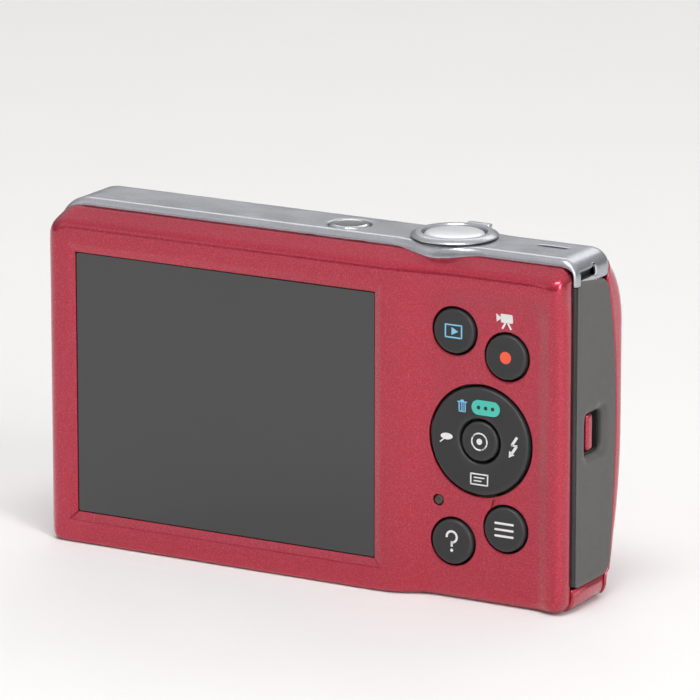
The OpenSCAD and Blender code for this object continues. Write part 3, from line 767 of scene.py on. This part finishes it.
ink = {
    "thick": 0.035,
    "sunk": 0.1,
    "proud": 0.02,
}
marks = {
    "playback": ("playback_button", (0, 0), "playback_key", "printBlue", [
        ("bar", -1.55, -1.12, 1.55, -0.9, 0.1), ("bar", -1.55, 0.9, 1.55, 1.12, 0.1),
        ("bar", -1.55, -1.0, -1.33, 1.0, 0.05), ("bar", 1.33, -1.0, 1.55, 1.0, 0.05),
        ("disc", 0.05, 0, 0.78, 3, 0, 1.0, 0.95)]),
    "record": ("movie_button", (0, 0), "movie_key", "printOrange", [("disc", 0, 0, 0.98, 48, 0, 1, 1)]),
    "movie": ("movie_button", (-0.3, 5.85), "camera", "printWhite", [
        ("bar", -0.75, -0.35, 1.35, 1.1, 0.2), ("disc", -1.2, 0.38, 0.78, 3, 0, 0.8, 1.0),
        ("slant", -0.25, -0.85, 1.15, 0.3, 60), ("slant", 0.75, -0.85, 1.15, 0.3, -60)]),
    "erase": ("dpad_ring", (-3.1, 5.5), "pad_ring", "printBlue", [
        ("bar", -0.62, -1.0, -0.45, 0.5, 0.04), ("bar", 0.45, -1.0, 0.62, 0.5, 0.04),
        ("bar", -0.6, -1.05, 0.6, -0.88, 0.04), ("bar", -0.2, -0.95, -0.08, 0.5, 0.02),
        ("bar", 0.1, -0.95, 0.22, 0.5, 0.02), ("bar", -0.85, 0.5, 0.85, 0.68, 0.05),
        ("bar", -0.3, 0.66, 0.3, 0.92, 0.08)]),
    "pill": ("dpad_ring", (1.1, 5.55), "pad_ring", "printTeal", [("bar", -2.5, -1.2, 2.5, 1.2, 1.15)]),
    "bolt": ("dpad_ring", (6.1, 0), "pad_ring", "printWhite", [
        ("slant", 0.12, 0.85, 1.7, 0.42, 56), ("bar", -0.42, 0.02, 0.62, 0.3, 0.05),
        ("slant", 0.08, -0.55, 1.6, 0.42, 56), ("disc", -0.5, -1.35, 0.62, 3, 236, 1.0, 1.0)]),
    "modes": ("dpad_ring", (1.1, 5.55), "pad_ring", "blackCap", [
        ("disc", -1.25, 0, 0.32, 24, 0, 1, 1), ("disc", 0, 0, 0.32, 24, 0, 1, 1),
        ("disc", 1.25, 0, 0.32, 24, 0, 1, 1)]),
    "leaf": ("dpad_ring", (-5.95, 0), "pad_ring", "printWhite", [
        ("disc", 0.1, 0.15, 1.05, 32, 40, 1.0, 0.5), ("slant", -0.75, -0.6, 0.9, 0.2, 40)]),
    "frame": ("dpad_ring", (0, -6.15), "pad_ring", "printWhite", [
        ("bar", -1.6, -0.95, 1.6, -0.75, 0.08), ("bar", -1.6, 0.75, 1.6, 0.95, 0.08),
        ("bar", -1.6, -0.9, -1.4, 0.9, 0.05), ("bar", 1.4, -0.9, 1.6, 0.9, 0.05),
        ("bar", -0.95, 0.18, 0.95, 0.36, 0.05), ("bar", -0.95, -0.36, 0.4, -0.18, 0.05)]),
    "target": ("func_button", (0, 0), "func_key", "printWhite", [
        ("arc", 0, 0, 1.35, 0.24, 0, 360), ("disc", 0, 0, 0.5, 32, 0, 1, 1)]),
    "help": ("help_button", (0, 0.1), "help_key", "printWhite", [
        ("arc", 0, 0.75, 0.9, 0.36, -90, 190), ("bar", -0.18, -0.85, 0.18, 0.03, 0.05),
        ("disc", 0, -1.45, 0.26, 24, 0, 1, 1)]),
    "list": ("menu_button", (0, 0), "menu_key", "printWhite", [
        ("bar", -1.7, 0.85, 1.7, 1.2, 0.14), ("bar", -1.7, -0.17, 1.7, 0.17, 0.14),
        ("bar", -1.7, -1.2, 1.7, -0.85, 0.14)]),
}


def turnFlat(part, degrees, verts):
    bmesh.ops.rotate(part, cent=(0, 0, 0), matrix=Matrix.Rotation(math.radians(degrees), 3, "Z"), verts=verts)


def addShape(bm, kind, values, thick):  # drawn flat, rising along Z
    part = bmesh.new()
    if kind == "bar":
        u0, v0, u1, v1, corner = values
        block(part, (u0, v0, 0), (u1, v1, thick))
        corner = min(corner, (u1 - u0) * 0.49, (v1 - v0) * 0.49)
        upright = [e for e in part.edges if abs(e.verts[0].co.z - e.verts[1].co.z) > thick / 2]
        bevel(part, upright, corner, 6)
    elif kind == "slant":
        u, v, length, wide, turn = values
        verts = block(part, (-length / 2, -wide / 2, 0), (length / 2, wide / 2, thick))
        turnFlat(part, turn, verts)
        bmesh.ops.translate(part, vec=(u, v, 0), verts=verts)
    elif kind == "disc":
        u, v, radius, sides, turn, wide, tall = values
        bmesh.ops.create_circle(part, cap_ends=True, radius=radius, segments=sides)
        lead = math.degrees(math.atan2(part.verts[:][0].co.y, part.verts[:][0].co.x))
        turnFlat(part, turn - lead, part.verts)
        bmesh.ops.scale(part, vec=(wide, tall, 1), verts=part.verts)
        up = bmesh.ops.extrude_face_region(part, geom=part.faces[:])["geom"]
        bmesh.ops.translate(part, vec=(0, 0, thick), verts=[g for g in up if isinstance(g, bmesh.types.BMVert)])
        bmesh.ops.translate(part, vec=(u, v, 0), verts=part.verts)
    else:
        u, v, radius, wide, start, end = values
        block(part, (radius - wide / 2, -0.001, 0), (radius + wide / 2, 0, thick))
        bmesh.ops.delete(part, geom=[f for f in part.faces if abs(f.normal.y) < 0.5], context="FACES_ONLY")
        near = [f for f in part.faces if f.calc_center_median().y > -0.0005]
        bmesh.ops.delete(part, geom=[f for f in part.faces if f not in near], context="FACES")
        turnFlat(part, start, part.verts)
        whole = end - start >= 360
        bmesh.ops.spin(part, geom=part.faces[:], cent=(0, 0, 0), axis=(0, 0, 1), dvec=(0, 0, 0),
                       angle=math.radians(end - start), steps=48, use_merge=whole)
        bmesh.ops.translate(part, vec=(u, v, 0), verts=part.verts)
    bmesh.ops.recalc_face_normals(part, faces=part.faces)
    join(bm, part)


def makeMark(label, node, offset, rides, material, shapes):
    bm = bmesh.new()
    for kind, *values in shapes:
        addShape(bm, kind, values, ink["sunk"] + ink["thick"])
    spot = middleOf(node)
    for v in bm.verts:
        x, z = spot.x - offset[0] - v.co.x, spot.z + offset[1] + v.co.y
        top = rearField(x, z) if rides == "camera" else keys["top"] - keys["hollow"] + ink["proud"]
        top += ink["proud"] if label == "modes" else 0
        v.co = (x, top - ink["sunk"] + v.co.z, z)
    bmesh.ops.recalc_face_normals(bm, faces=bm.faces)
    makePiece(label + "Mark", bm, material, rides, sharp=30)


print("marks")
for label, entry in marks.items():
    makeMark(label, *entry)

rubber = {
    "side": 47.6,
    "low": (-6.6, 4.2),    # along Y and Z
    "high": (6.75, 52.9),
    "corners": {(1, 1): 0.5, (1, -1): 0.6, (-1, 1): 2.6, (-1, -1): 2.8},
    "wall": 1.0,
    "window": (0.8, 27.95, 3.25, 3.5),
    "chamfer": 0.9,
    "dish": 0.16,          # hollow round the strap window
    "rimSink": 0.12,
    "roundMiddle": (1.5, 28),      # the border rolls away from this point
    "bendStart": 32.0,
    "bendEnd": 35.5,
    "step": 0.45,
}


def rubberPlace(y, z):  # the skin's front edge bows forward and its top edge slopes
    share = (rubber["high"][0] - y) / (rubber["high"][0] - rubber["low"][0])
    bow = 0.007 if z > 30 else 0.0033
    y += share * (bow * (z - 30) ** 2 - 0.1)
    z += 0.16 * (y - 2) * smooth((z - 44) / 9)
    back = max(0.0, y - 5.9)
    front = max(0.0, -3.6 - y)
    x = -rubber["side"] + 0.17 * back * back + 0.018 * front * front
    wy, wz, wide, tall = rubber["window"]
    around = math.hypot((y - wy) / (wide + 2.4), (z - wz) / (tall + 3.2))
    return x + rubber["dish"] * (1 - smooth(around)), y, z


def makeRubber():
    low, high = rubber["low"], rubber["high"]
    columns = spread([low[0], low[0] + 2.6, high[0]], rubber["step"])
    rows = spread([low[1], low[1] + 2.8, high[1] - 2.6, high[1]], rubber["step"])
    sheet = Sheet(columns, rows)
    sheet.hole(*rubber["window"], lip=rubber["chamfer"], power=5, reach=0.5)
    rims = sheet.cutHoles()
    bm = sheet.bm
    for v, (y, z) in sheet.flat.items():
        py, pz, _, _, _ = rearRound(y, z, low, high, rubber["corners"])
        v.co = rubberPlace(*sheet.warp(py, pz))
    border = [e for e in bm.edges if e.is_boundary and all(sheet.atEdge(*sheet.flat[v]) for v in e.verts)]
    midY, midZ = rubber["roundMiddle"]
    for out, down in ((0.1, 0.06), (0.05, 0.16), (0, 0.9)):

        def roll(v, old):
            away = Vector((0, old.co.y - midY, (old.co.z - midZ) / 4)).normalized()
            v.co = (old.co.x + down, old.co.y + away.y * out, old.co.z + away.z * out)

        border = pull(bm, border, roll)
    sinkRims(sheet, rims, ((0.75, 0.06), (0.3, 0.38), (0.05, 0.62), (0, 0.8), (0, 1.3)), (1, 2), 1,
             rubber["rimSink"] - rubber["side"])
    faceOut(bm, (-47.5, 1, 45), (-1, 0, 0))
    makeBlock("gripSeam", ((-47.3, 6.6, 4.4), (-46.6, 7.75, 52.7)), 0.2, "darkPlastic", "camera",
              sharp=60)
    piece = makePiece("gripSkin", bm, "gripRubber", None, ["terminal_flap", "side_pad"], 50)
    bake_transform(piece)
    makeBlock("portPlug", ((-46.7, -2.4, 44.6), (-45.5, 4.0, 48.6)), 0.35, "gripRubber", "flap")
    bm = bmesh.new()
    for kind, *values in [("bar", -2.6, -0.9, 2.6, -0.62, 0.1), ("bar", -2.6, 0.62, 2.6, 0.9, 0.1),
                          ("bar", -2.6, -0.8, -2.32, 0.8, 0.1), ("bar", 2.32, -0.8, 2.6, 0.8, 0.1),
                          ("bar", -1.5, -0.14, 1.5, 0.14, 0.1)]:
        addShape(bm, kind, values, 0.3)
    for v in bm.verts:
        v.co = (-rubber["side"] + 0.31 - v.co.z, 2.6 + v.co.y, 46.5 + v.co.x)
    bmesh.ops.recalc_face_normals(bm, faces=bm.faces)
    makePiece("portMark", bm, "gripRubber", "flap", sharp=30)
    makeBlock("strapBar", boxOf("strap_bar"), 0.62, "redPaint", "camera", ["strap_bar"], 60, 5)


print("rubber")
makeRubber()

strip = {
    "top": 57.1,
    "bottom": 52.85,
    "front": -3.2,
    "rear": 7.8,
    "grip": 47.55,
    "far": 47.44,
    "gripCorner": 3.0,
    "farCorner": 5.5,
    "round": 1.2,          # rounding of the rear edge
    "bossRadius": 8.2,
    "bulge": 1.6,          # how far the edges swell round the zoom ring
    "boss": (-23.0, 2.3),
    "hub": 6.05,
    "power": 3.5,
    "slot": (-39.7, 0.8, 2.75, 0.5),
    "notchY": (1.3, 6.4),
    "notchZ": (53.7, 55.2),
    "wall": 0.5,
    "step": 0.6,
}


def stripPoint(s):  # s runs from the grip side up, across and down the far side; flat part has s = x
    top, grip, far = strip["top"], -strip["grip"], strip["far"]
    r, left = strip["gripCorner"], -strip["grip"] + strip["gripCorner"]
    if s < left:
        arc = left - s
        if arc < r * math.pi / 2:
            angle = math.pi / 2 + arc / r
            return left + r * math.cos(angle), top - r + r * math.sin(angle), math.cos(angle), math.sin(angle)
        return grip, top - r - (arc - r * math.pi / 2), -1.0, 0.0
    r, right = strip["farCorner"], far - strip["farCorner"]
    if s > right:
        arc = s - right
        if arc < r * math.pi / 2:
            angle = math.pi / 2 - arc / r
            return right + r * math.cos(angle), top - r + r * math.sin(angle), math.cos(angle), math.sin(angle)
        return far, top - r - (arc - r * math.pi / 2), 1.0, 0.0
    return s, top, 0.0, 1.0


def stripPlace(s, y):
    x, z, nx, nz = stripPoint(s)
    bulge = strip["bulge"] * (1 - smooth(abs(x - strip["boss"][0]) / strip["bossRadius"]))
    away = y - strip["boss"][1]
    y += math.copysign(bulge, away) * smooth((abs(away) - 5.1) / 0.4)
    back = max(0.0, y - (strip["rear"] + bulge - strip["round"]))
    drop = strip["round"] - math.sqrt(max(0.0, strip["round"] ** 2 - back * back))
    drop *= (strip["round"] + 0.55 * bulge) / strip["round"]
    fore = max(0.0, strip["front"] - bulge + 0.9 - y)
    drop += 0.3 * fore * fore
    inward = drop * max(nz, 0.45 if nx < -0.5 else 0.0)
    return x - nx * inward, y, z - nz * inward


def makeTop():
    left = -strip["grip"] + strip["gripCorner"]
    right = strip["far"] - strip["farCorner"]
    gripEnd = left - strip["gripCorner"] * math.pi / 2
    farEnd = right + strip["farCorner"] * math.pi / 2
    drop = strip["top"] - strip["gripCorner"] - strip["bottom"]
    notch = [gripEnd + z - (strip["top"] - strip["gripCorner"]) for z in strip["notchZ"]]
    columns = spread([gripEnd - drop, notch[0], notch[1], left], 0.35)[:-1] + spread(
        [left, strip["slot"][0] - 3, strip["slot"][0] + 3, -31, -15, right], strip["step"])[:-1] + spread(
        [right, farEnd], 0.4)
    rows = spread([strip["front"], -2.4, 6.4, strip["rear"]], 0.45)
    rows = [r for r in rows if r <= 6.4] + [6.4 + 1.4 * math.sin(k * math.pi / 32) for k in range(1, 17)]
    sheet = Sheet(columns, rows)
    bx, by = strip["boss"]
    sheet.hole(bx, by, strip["hub"] - 1.2, lip=0.3, reach=0.12)
    power = middleOf("power_button")
    sheet.hole(power.x, power.y, strip["power"], lip=0.25)
    sheet.hole(*strip["slot"], lip=0.15, power=3, reach=0.8)
    rims = sheet.cutHoles()
    window = sheet.cutWindow((notch[0], strip["notchY"][0]), (notch[1], strip["notchY"][1]))
    bm = sheet.bm
    for v, (s, y) in sheet.flat.items():
        v.co = stripPlace(*sheet.warp(s, y))
    sinkRims(sheet, rims, ((0.4, 0.04), (0.0, 0.16), (0.0, 1.6)), (0, 1), -1, strip["top"])
    for into in (0.15, 1.4):
        window = pull(bm, window, lambda v, old: setattr(v, "co", (-strip["grip"] + into, old.co.y, old.co.z)))
    faceOut(bm, (10, 2, 57.1), (0, 0, 1))
    piece = makePiece("topStrip", bm, "silverTop", "camera", ["top_cover"], 42)
    thicken(piece, strip["wall"])
    makeBlock("notchFloor", ((-46.4, 0.9, 53.3), (-45.6, 6.8, 55.6)), 0.15, "darkPlastic", "camera")


print("top strip")
makeTop()

knobs = {
    "ringTop": 58.0,
    "ringBase": 57.3,
    "ringRadius": 7.0,
    "ringBore": 5.2,
    "shutterTop": 58.15,
    "shutterRadius": 4.9,
    "powerRadius": 3.22,
    "powerTop": 57.3,
    "lugLow": (-25.9, -5.1, 57.25),
    "lugHigh": (-21.7, -3.7, 58.1),
}


def makeKnobs():
    top, low, out, bore = knobs["ringTop"], knobs["ringBase"], knobs["ringRadius"], knobs["ringBore"]
    bx, by = strip["boss"]
    bm = bmesh.new()
    lathe(bm, [(bore, low - 2.5), (bore, top - 0.14), (bore + 0.12, top), (out - 0.95, top), (out - 0.8, top - 0.03),
               (out - 0.12, top - 0.36), (out, top - 0.5), (out, low + 0.06), (out - 0.1, low),
               (out - 1.3, low), (out - 1.3, low - 2.5), (bore, low - 2.5)], (bx, by, 0), (0, 0, 1), 128)
    part = bmesh.new()
    block(part, knobs["lugLow"], knobs["lugHigh"])
    softEdges(part, 0.32, 4)
    join(bm, part)
    makePiece("zoomRing", bm, "silverTop", "zoom_ring", ["zoom_lever"], 34)
    top, out = knobs["shutterTop"], knobs["shutterRadius"]
    bm = bmesh.new()
    lathe(bm, [(0, top), (1.6, top - 0.02), (3.0, top - 0.09), (3.9, top - 0.18), (4.4, top - 0.28),
               (4.7, top - 0.44), (out, top - 0.75), (out, top - 3.4), (0, top - 3.4)], (bx, by, 0), (0, 0, 1), 128)
    makePiece("shutterDome", bm, "whiteSatin", "shutter_key", ["shutter_button"], 50)
    top, out = knobs["powerTop"], knobs["powerRadius"]
    makeKnob("powerCap", "power_button", [(0, top - 0.1), (1.8, top - 0.09), (out - 0.75, top - 0.05),
             (out - 0.55, top), (out - 0.4, top - 0.02), (out - 0.1, top - 0.22), (out, top - 0.4),
             (out, top - 2.4), (0, top - 2.4)],
             "power_key", "brightMetal", axis=(0, 0, 1))


print("knobs")
makeKnobs()

glass = {"edge": 0.14, "corner": 0.35}


def makeGlass():
    bm = bmesh.new()
    low, high = boxOf("display_window")
    block(bm, low, high)
    upright = [e for e in bm.edges if abs(e.verts[0].co.y - e.verts[1].co.y) > 0.5]
    bevel(bm, upright, glass["corner"], 4)
    front = [f for f in bm.faces if f.normal.y > 0.9]
    rimEdges = list({e for f in front for e in f.edges})
    bevel(bm, rimEdges, glass["edge"], 3)
    makePiece("screenPane", bm, "screenGlass", "camera", ["display_window"], 8)


print("glass")
makeGlass()


frontSide = {
    "face": -9.7,
    "lean": -3.3,
    "low": 27,             # the face is upright between these heights
    "high": 45,
    "roll": 2.4,
    "back": 7.7,
    "top": 56.3,
    "bow": 0.2,
    "ring": 21.7,
    "corners": {(1, 1): 5.5, (1, -1): 2.0, (-1, 1): 3.0, (-1, -1): 2.5},
    "doorSide": -11.3,
    "doorFront": -3.05,
    "wall": 0.8,
    "step": 1.0,
}


def frontField(x, z):
    if z < frontSide["low"]:
        away = ((frontSide["low"] - z) / frontSide["low"]) ** 1.8
    elif z > frontSide["high"]:
        away = ((z - frontSide["high"]) / (frontSide["top"] - frontSide["high"])) ** 2.2
    else:
        away = 0.0
    full = max(0.0, 1 - away) ** 0.62
    reach = frontSide["face"] - frontSide["lean"] + frontSide["bow"] * (x / body["halfWidth"]) ** 2
    return frontSide["lean"] + reach * full


def frontEnd(x, z, sx):  # how far back the red shell runs at a point of its outline
    if z > strip["bottom"] - 0.05:
        return strip["front"] - 0.05
    if sx < 0 and z > rubber["low"][1] - 0.1:
        return rubberPlace(rubber["low"][0], z)[1] + 0.5
    if z < 4.2 and x < frontSide["doorSide"]:
        return frontSide["doorFront"]
    return frontSide["back"]


def makeFront():
    half, top, roll = body["halfWidth"], frontSide["top"], frontSide["roll"]
    low, high = (-half + roll, 0.0), (half - roll, top)
    inner = {key: max(r - roll, 0.7) for key, r in frontSide["corners"].items()}
    columns = spread([low[0], low[0] + 0.7, frontSide["doorSide"] - 0.1, frontSide["doorSide"] + 0.1, 31.3,
                      high[0] - 3.1, high[0]], frontSide["step"])
    foot, brow = frontSide["low"], frontSide["high"]
    lower = [foot * (1 - math.sin(k * math.pi / 60)) for k in range(30, -1, -1)]
    upper = [brow + (top - brow) * math.sin(k * math.pi / 40) for k in range(0, 21)]
    middle = [foot + (brow - foot) * k / 22 for k in range(1, 22)]
    rows = sorted(set(round(r, 4) for r in lower + middle + upper + [4.1, 4.2, 52.7, 52.85]))
    sheet = Sheet(columns, rows)
    lens = middleOf("lens_ring")
    sheet.hole(lens.x, lens.z, frontSide["ring"], lip=0.3, reach=0.3)
    flash = middleOf("flash_window")
    sheet.hole(flash.x, flash.z, 5.8, 3.55, lip=0.2, power=7, reach=0.25)
    rims = sheet.cutHoles()
    bm = sheet.bm
    border = {}
    for v, (x, z) in sheet.flat.items():
        px, pz, angle, sx, sz = rearRound(x, z, low, high, inner)
        wx, wz = sheet.warp(px, pz)
        v.co = (wx, frontField(wx, wz), wz)
        if sheet.atEdge(x, z):
            if angle is None and x in (columns[0], columns[-1]):
                sx = 1 if x == columns[-1] else -1
                near, far = inner[sx, -1], top - inner[sx, 1]
                share = (z - near) / (far - near)
                a, b = frontSide["corners"][sx, -1], top - frontSide["corners"][sx, 1]
                border[v] = (sx * half, a + (b - a) * share, sx, 1.0)
            elif angle is None:
                border[v] = (x, pz, 0, 0.0)
            else:
                r = frontSide["corners"][sx, sz]
                cx, cz = sx * (half - r), top - r if sz > 0 else r
                border[v] = (cx + sx * r * math.cos(angle), cz + sz * r * math.sin(angle), sx,
                             1 - smooth(angle / (math.pi / 2)))
    edges = [e for e in bm.edges if e.is_boundary and all(v in border for v in e.verts)]
    root = {v: v for v in border}
    for k in range(1, 13):

        def move(v, old):
            start = root[old]
            root[v] = start
            x, z, sx, side = border[start]
            turn = min(k, 8) / 8 * math.pi / 2
            share = math.sin(turn)
            end = max(frontEnd(x, z, sx), start.co.y + 0.25)
            y = start.co.y + min(roll * side, end - start.co.y - 0.15) * (1 - math.cos(turn))
            if k > 8:
                y += (end - y) * (k - 8) / 4
            v.co = (start.co.x + (x - start.co.x) * share, y, start.co.z + (z - start.co.z) * share)

        edges = pull(bm, edges, move)
    sinkRims(sheet, rims, ((0.3, 0.05), (0.0, 0.25), (0.0, 1.6)), (0, 2), 1)
    bmesh.ops.remove_doubles(bm, verts=bm.verts, dist=0.002)
    bmesh.ops.dissolve_degenerate(bm, edges=bm.edges, dist=0.0005)
    faceOut(bm, (-30, -9.7, 35), (0, -1, 0))
    piece = makePiece("frontShell", bm, "redPaint", "camera", ["front_cover"], 42)
    thicken(piece, frontSide["wall"])


print("front cover")
makeFront()

lensParts = {
    "ring": [(17.75, -5.6), (17.75, -10.9), (17.9, -11.3), (18.3, -11.7), (18.8, -11.8), (19.5, -11.72),
             (20.5, -11.3), (21.4, -10.6), (21.85, -9.9), (21.95, -9.2), (21.95, -5.6), (17.75, -5.6)],
    "outer": [(17.35, 2.8), (17.35, -9.2), (17.2, -9.3), (17.2, -9.6), (17.35, -9.7), (17.35, -11.1),
              (17.2, -11.3), (16.15, -11.3), (15.95, -11.15), (15.95, 2.8), (17.35, 2.8)],
    "inner": [(15.6, 2.4), (15.6, -11.3), (15.4, -11.5), (14.4, -11.5), (14.1, -11.4), (13.9, -11.2),
              (13.4, -11.15), (9.5, -11.05), (8.9, -11.2), (8.4, -11.3), (7.9, -11.2), (6.2, -10.9),
              (5.5, -10.75), (5.3, -10.55), (5.3, -10.42), (13.1, -10.42), (13.1, 2.4), (15.6, 2.4)],
    "glass": [(0, -8.75), (2.0, -8.65), (4.0, -8.3), (5.6, -7.75), (6.4, -7.3), (6.5, -5.5), (4, -5.8), (0, -6.0)],
    "lamp": [(0, -9.8), (1.0, -9.78), (1.6, -9.68), (2.0, -9.5), (2.1, -9.2), (2.1, -7.2), (0, -7.2)],
    "bezel": [(2.1, -8.2), (2.1, -9.6), (2.2, -9.78), (2.45, -9.86), (2.7, -9.8), (2.8, -9.6), (2.8, -8.2),
              (2.1, -8.2)],
}


def makeLens():
    makeKnob("lensTrim", "lens_ring", lensParts["ring"], "camera", "brightMetal", segments=160)
    makeKnob("outerTube", "outer_barrel", lensParts["outer"], "barrel", "silverTop", segments=144)
    makeKnob("innerTube", "inner_barrel", lensParts["inner"], "front_barrel", "silverTop", segments=144)
    makeKnob("frontGlass", "front_lens", lensParts["glass"], "front_barrel", "lensGlass")
    makeKnob("assistLamp", "af_lamp_lens", lensParts["lamp"], "camera", "lampPlastic", segments=64)
    spot = middleOf("af_lamp_lens")
    bm = bmesh.new()
    lathe(bm, lensParts["bezel"], (spot.x, 0, spot.z), (0, 1, 0), 64)
    makePiece("lampBezel", bm, "brightMetal", "camera")
    low, high = boxOf("flash_window")
    makeBlock("flashPane", (low + Vector((0.05, -0.2, 0.05)), high - Vector((0.05, 0, 0.05))), 0.5,
              "flashPlastic", "camera", ["flash_window"], 50, 5)
    spot = middleOf("microphone")
    bm = bmesh.new()
    for away in (-1.2, 0, 1.2):
        x = spot.x + away
        face = frontField(x, spot.z)
        lathe(bm, [(0, face + 0.3), (0.3, face + 0.3), (0.34, face - 0.02), (0.42, face - 0.03), (0.5, face + 0.02),
                   (0.5, face + 0.5), (0, face + 0.5)], (x, 0, spot.z), (0, 1, 0), 24)
    makePiece("micHoles", bm, "darkPlastic", "camera")


print("lens and front parts")
makeLens()

door = {
    "low": (-47.35, -2.9, 0.02),
    "high": (-11.5, 7.45, 3.85),
    "floor": 1.3,
    "wrap": -45.9,
    "corner": 2.4,
    "edge": 0.45,
    "wall": 0.9,
}


def makeDoor():
    bm = bmesh.new()
    low, high = Vector(door["low"]), Vector(door["high"])
    block(bm, low, high)
    corner = [e for e in bm.edges if all(
        abs(v.co.x - low.x) < 0.01 and abs(v.co.z - low.z) < 0.01 for v in e.verts)]
    bevel(bm, corner, door["corner"], 12)
    lip = [e for e in bm.edges if abs(e.verts[0].co.y - e.verts[1].co.y) < 0.01
           and len(e.link_faces) == 2 and any(abs(f.normal.y) > 0.9 for f in e.link_faces)
           and e.calc_face_angle(0) > 1
           and max(e.verts[0].co.z, (e.verts[0].co.z + e.verts[1].co.z) / 2) < high.z - 0.1]
    bevel(bm, lip, door["edge"], 4)
    bmesh.ops.delete(bm, geom=[f for f in bm.faces if f.normal.z > 0.9], context="FACES")
    for at, plane in (((0, 0, door["floor"]), (0, 0, 1)), ((door["wrap"], 0, 0), (1, 0, 0))):
        bmesh.ops.bisect_plane(bm, geom=bm.verts[:] + bm.edges[:] + bm.faces[:], plane_co=at, plane_no=plane)
    spare = [f for f in bm.faces
             if f.calc_center_median().z > door["floor"] and f.calc_center_median().x > door["wrap"]]
    bmesh.ops.delete(bm, geom=spare, context="FACES")
    faceOut(bm, (-30, 2, 0), (0, 0, -1))
    piece = makePiece("doorPanel", bm, "redPaint", "door", ["battery_door"], 42)
    thicken(piece, door["wall"])


print("battery door")
makeDoor()


nodePaint = {       # the rest is red
    "silverTop": ["top_cover", "zoom_lever", "outer_barrel", "inner_barrel"],
    "darkPlastic": ["end_plate", "strap_cup", "lens_housing", "upper_blade", "lower_blade", "flash_capacitor",
                    "speaker", "battery_holder"],
    "gripRubber": ["terminal_flap", "side_pad"],
    "plainSteel": ["door_slider", "door_hinge_pin", "lcd_frame", "dpad_plate", "key_domes", "shutter_spring",
                   "cam_ring", "zoom_motor", "microphone", "tripod_socket", "card_socket", "usb_port",
                   "body_screws"],
    "screenGlass": ["display_window"],
    "screenLayers": ["lcd_panel"],
    "whitePlastic": ["backlight"],
    "blackCap": ["playback_button", "movie_button", "help_button", "menu_button", "dpad_ring", "func_button"],
    "smokedLamp": ["status_led"],
    "boardGreen": ["key_board", "top_board", "main_board"],
    "whiteSatin": ["shutter_button"],
    "brightMetal": ["power_button", "lens_ring", "flash_reflector"],
    "lensGlass": ["front_lens", "rear_lens"],
    "sensorFace": ["image_sensor"],
    "flashPlastic": ["flash_window", "flash_tube"],
    "lampPlastic": ["af_lamp_lens"],
    "chipBlack": ["processor_chip"],
    "cardBlue": ["memory_card"],
    "batterySkin": ["battery_pack"],
    "latchOrange": ["battery_latch"],
    "contactGold": ["battery_contacts"],
}
for nodeName, node in cadNodes.items():
    look = paint[next((label for label, names in nodePaint.items() if nodeName in names), "redPaint")]
    if not node.data.materials:
        node.data.materials.append(look)
    for slotIndex in range(len(node.data.materials)):
        node.data.materials[slotIndex] = look
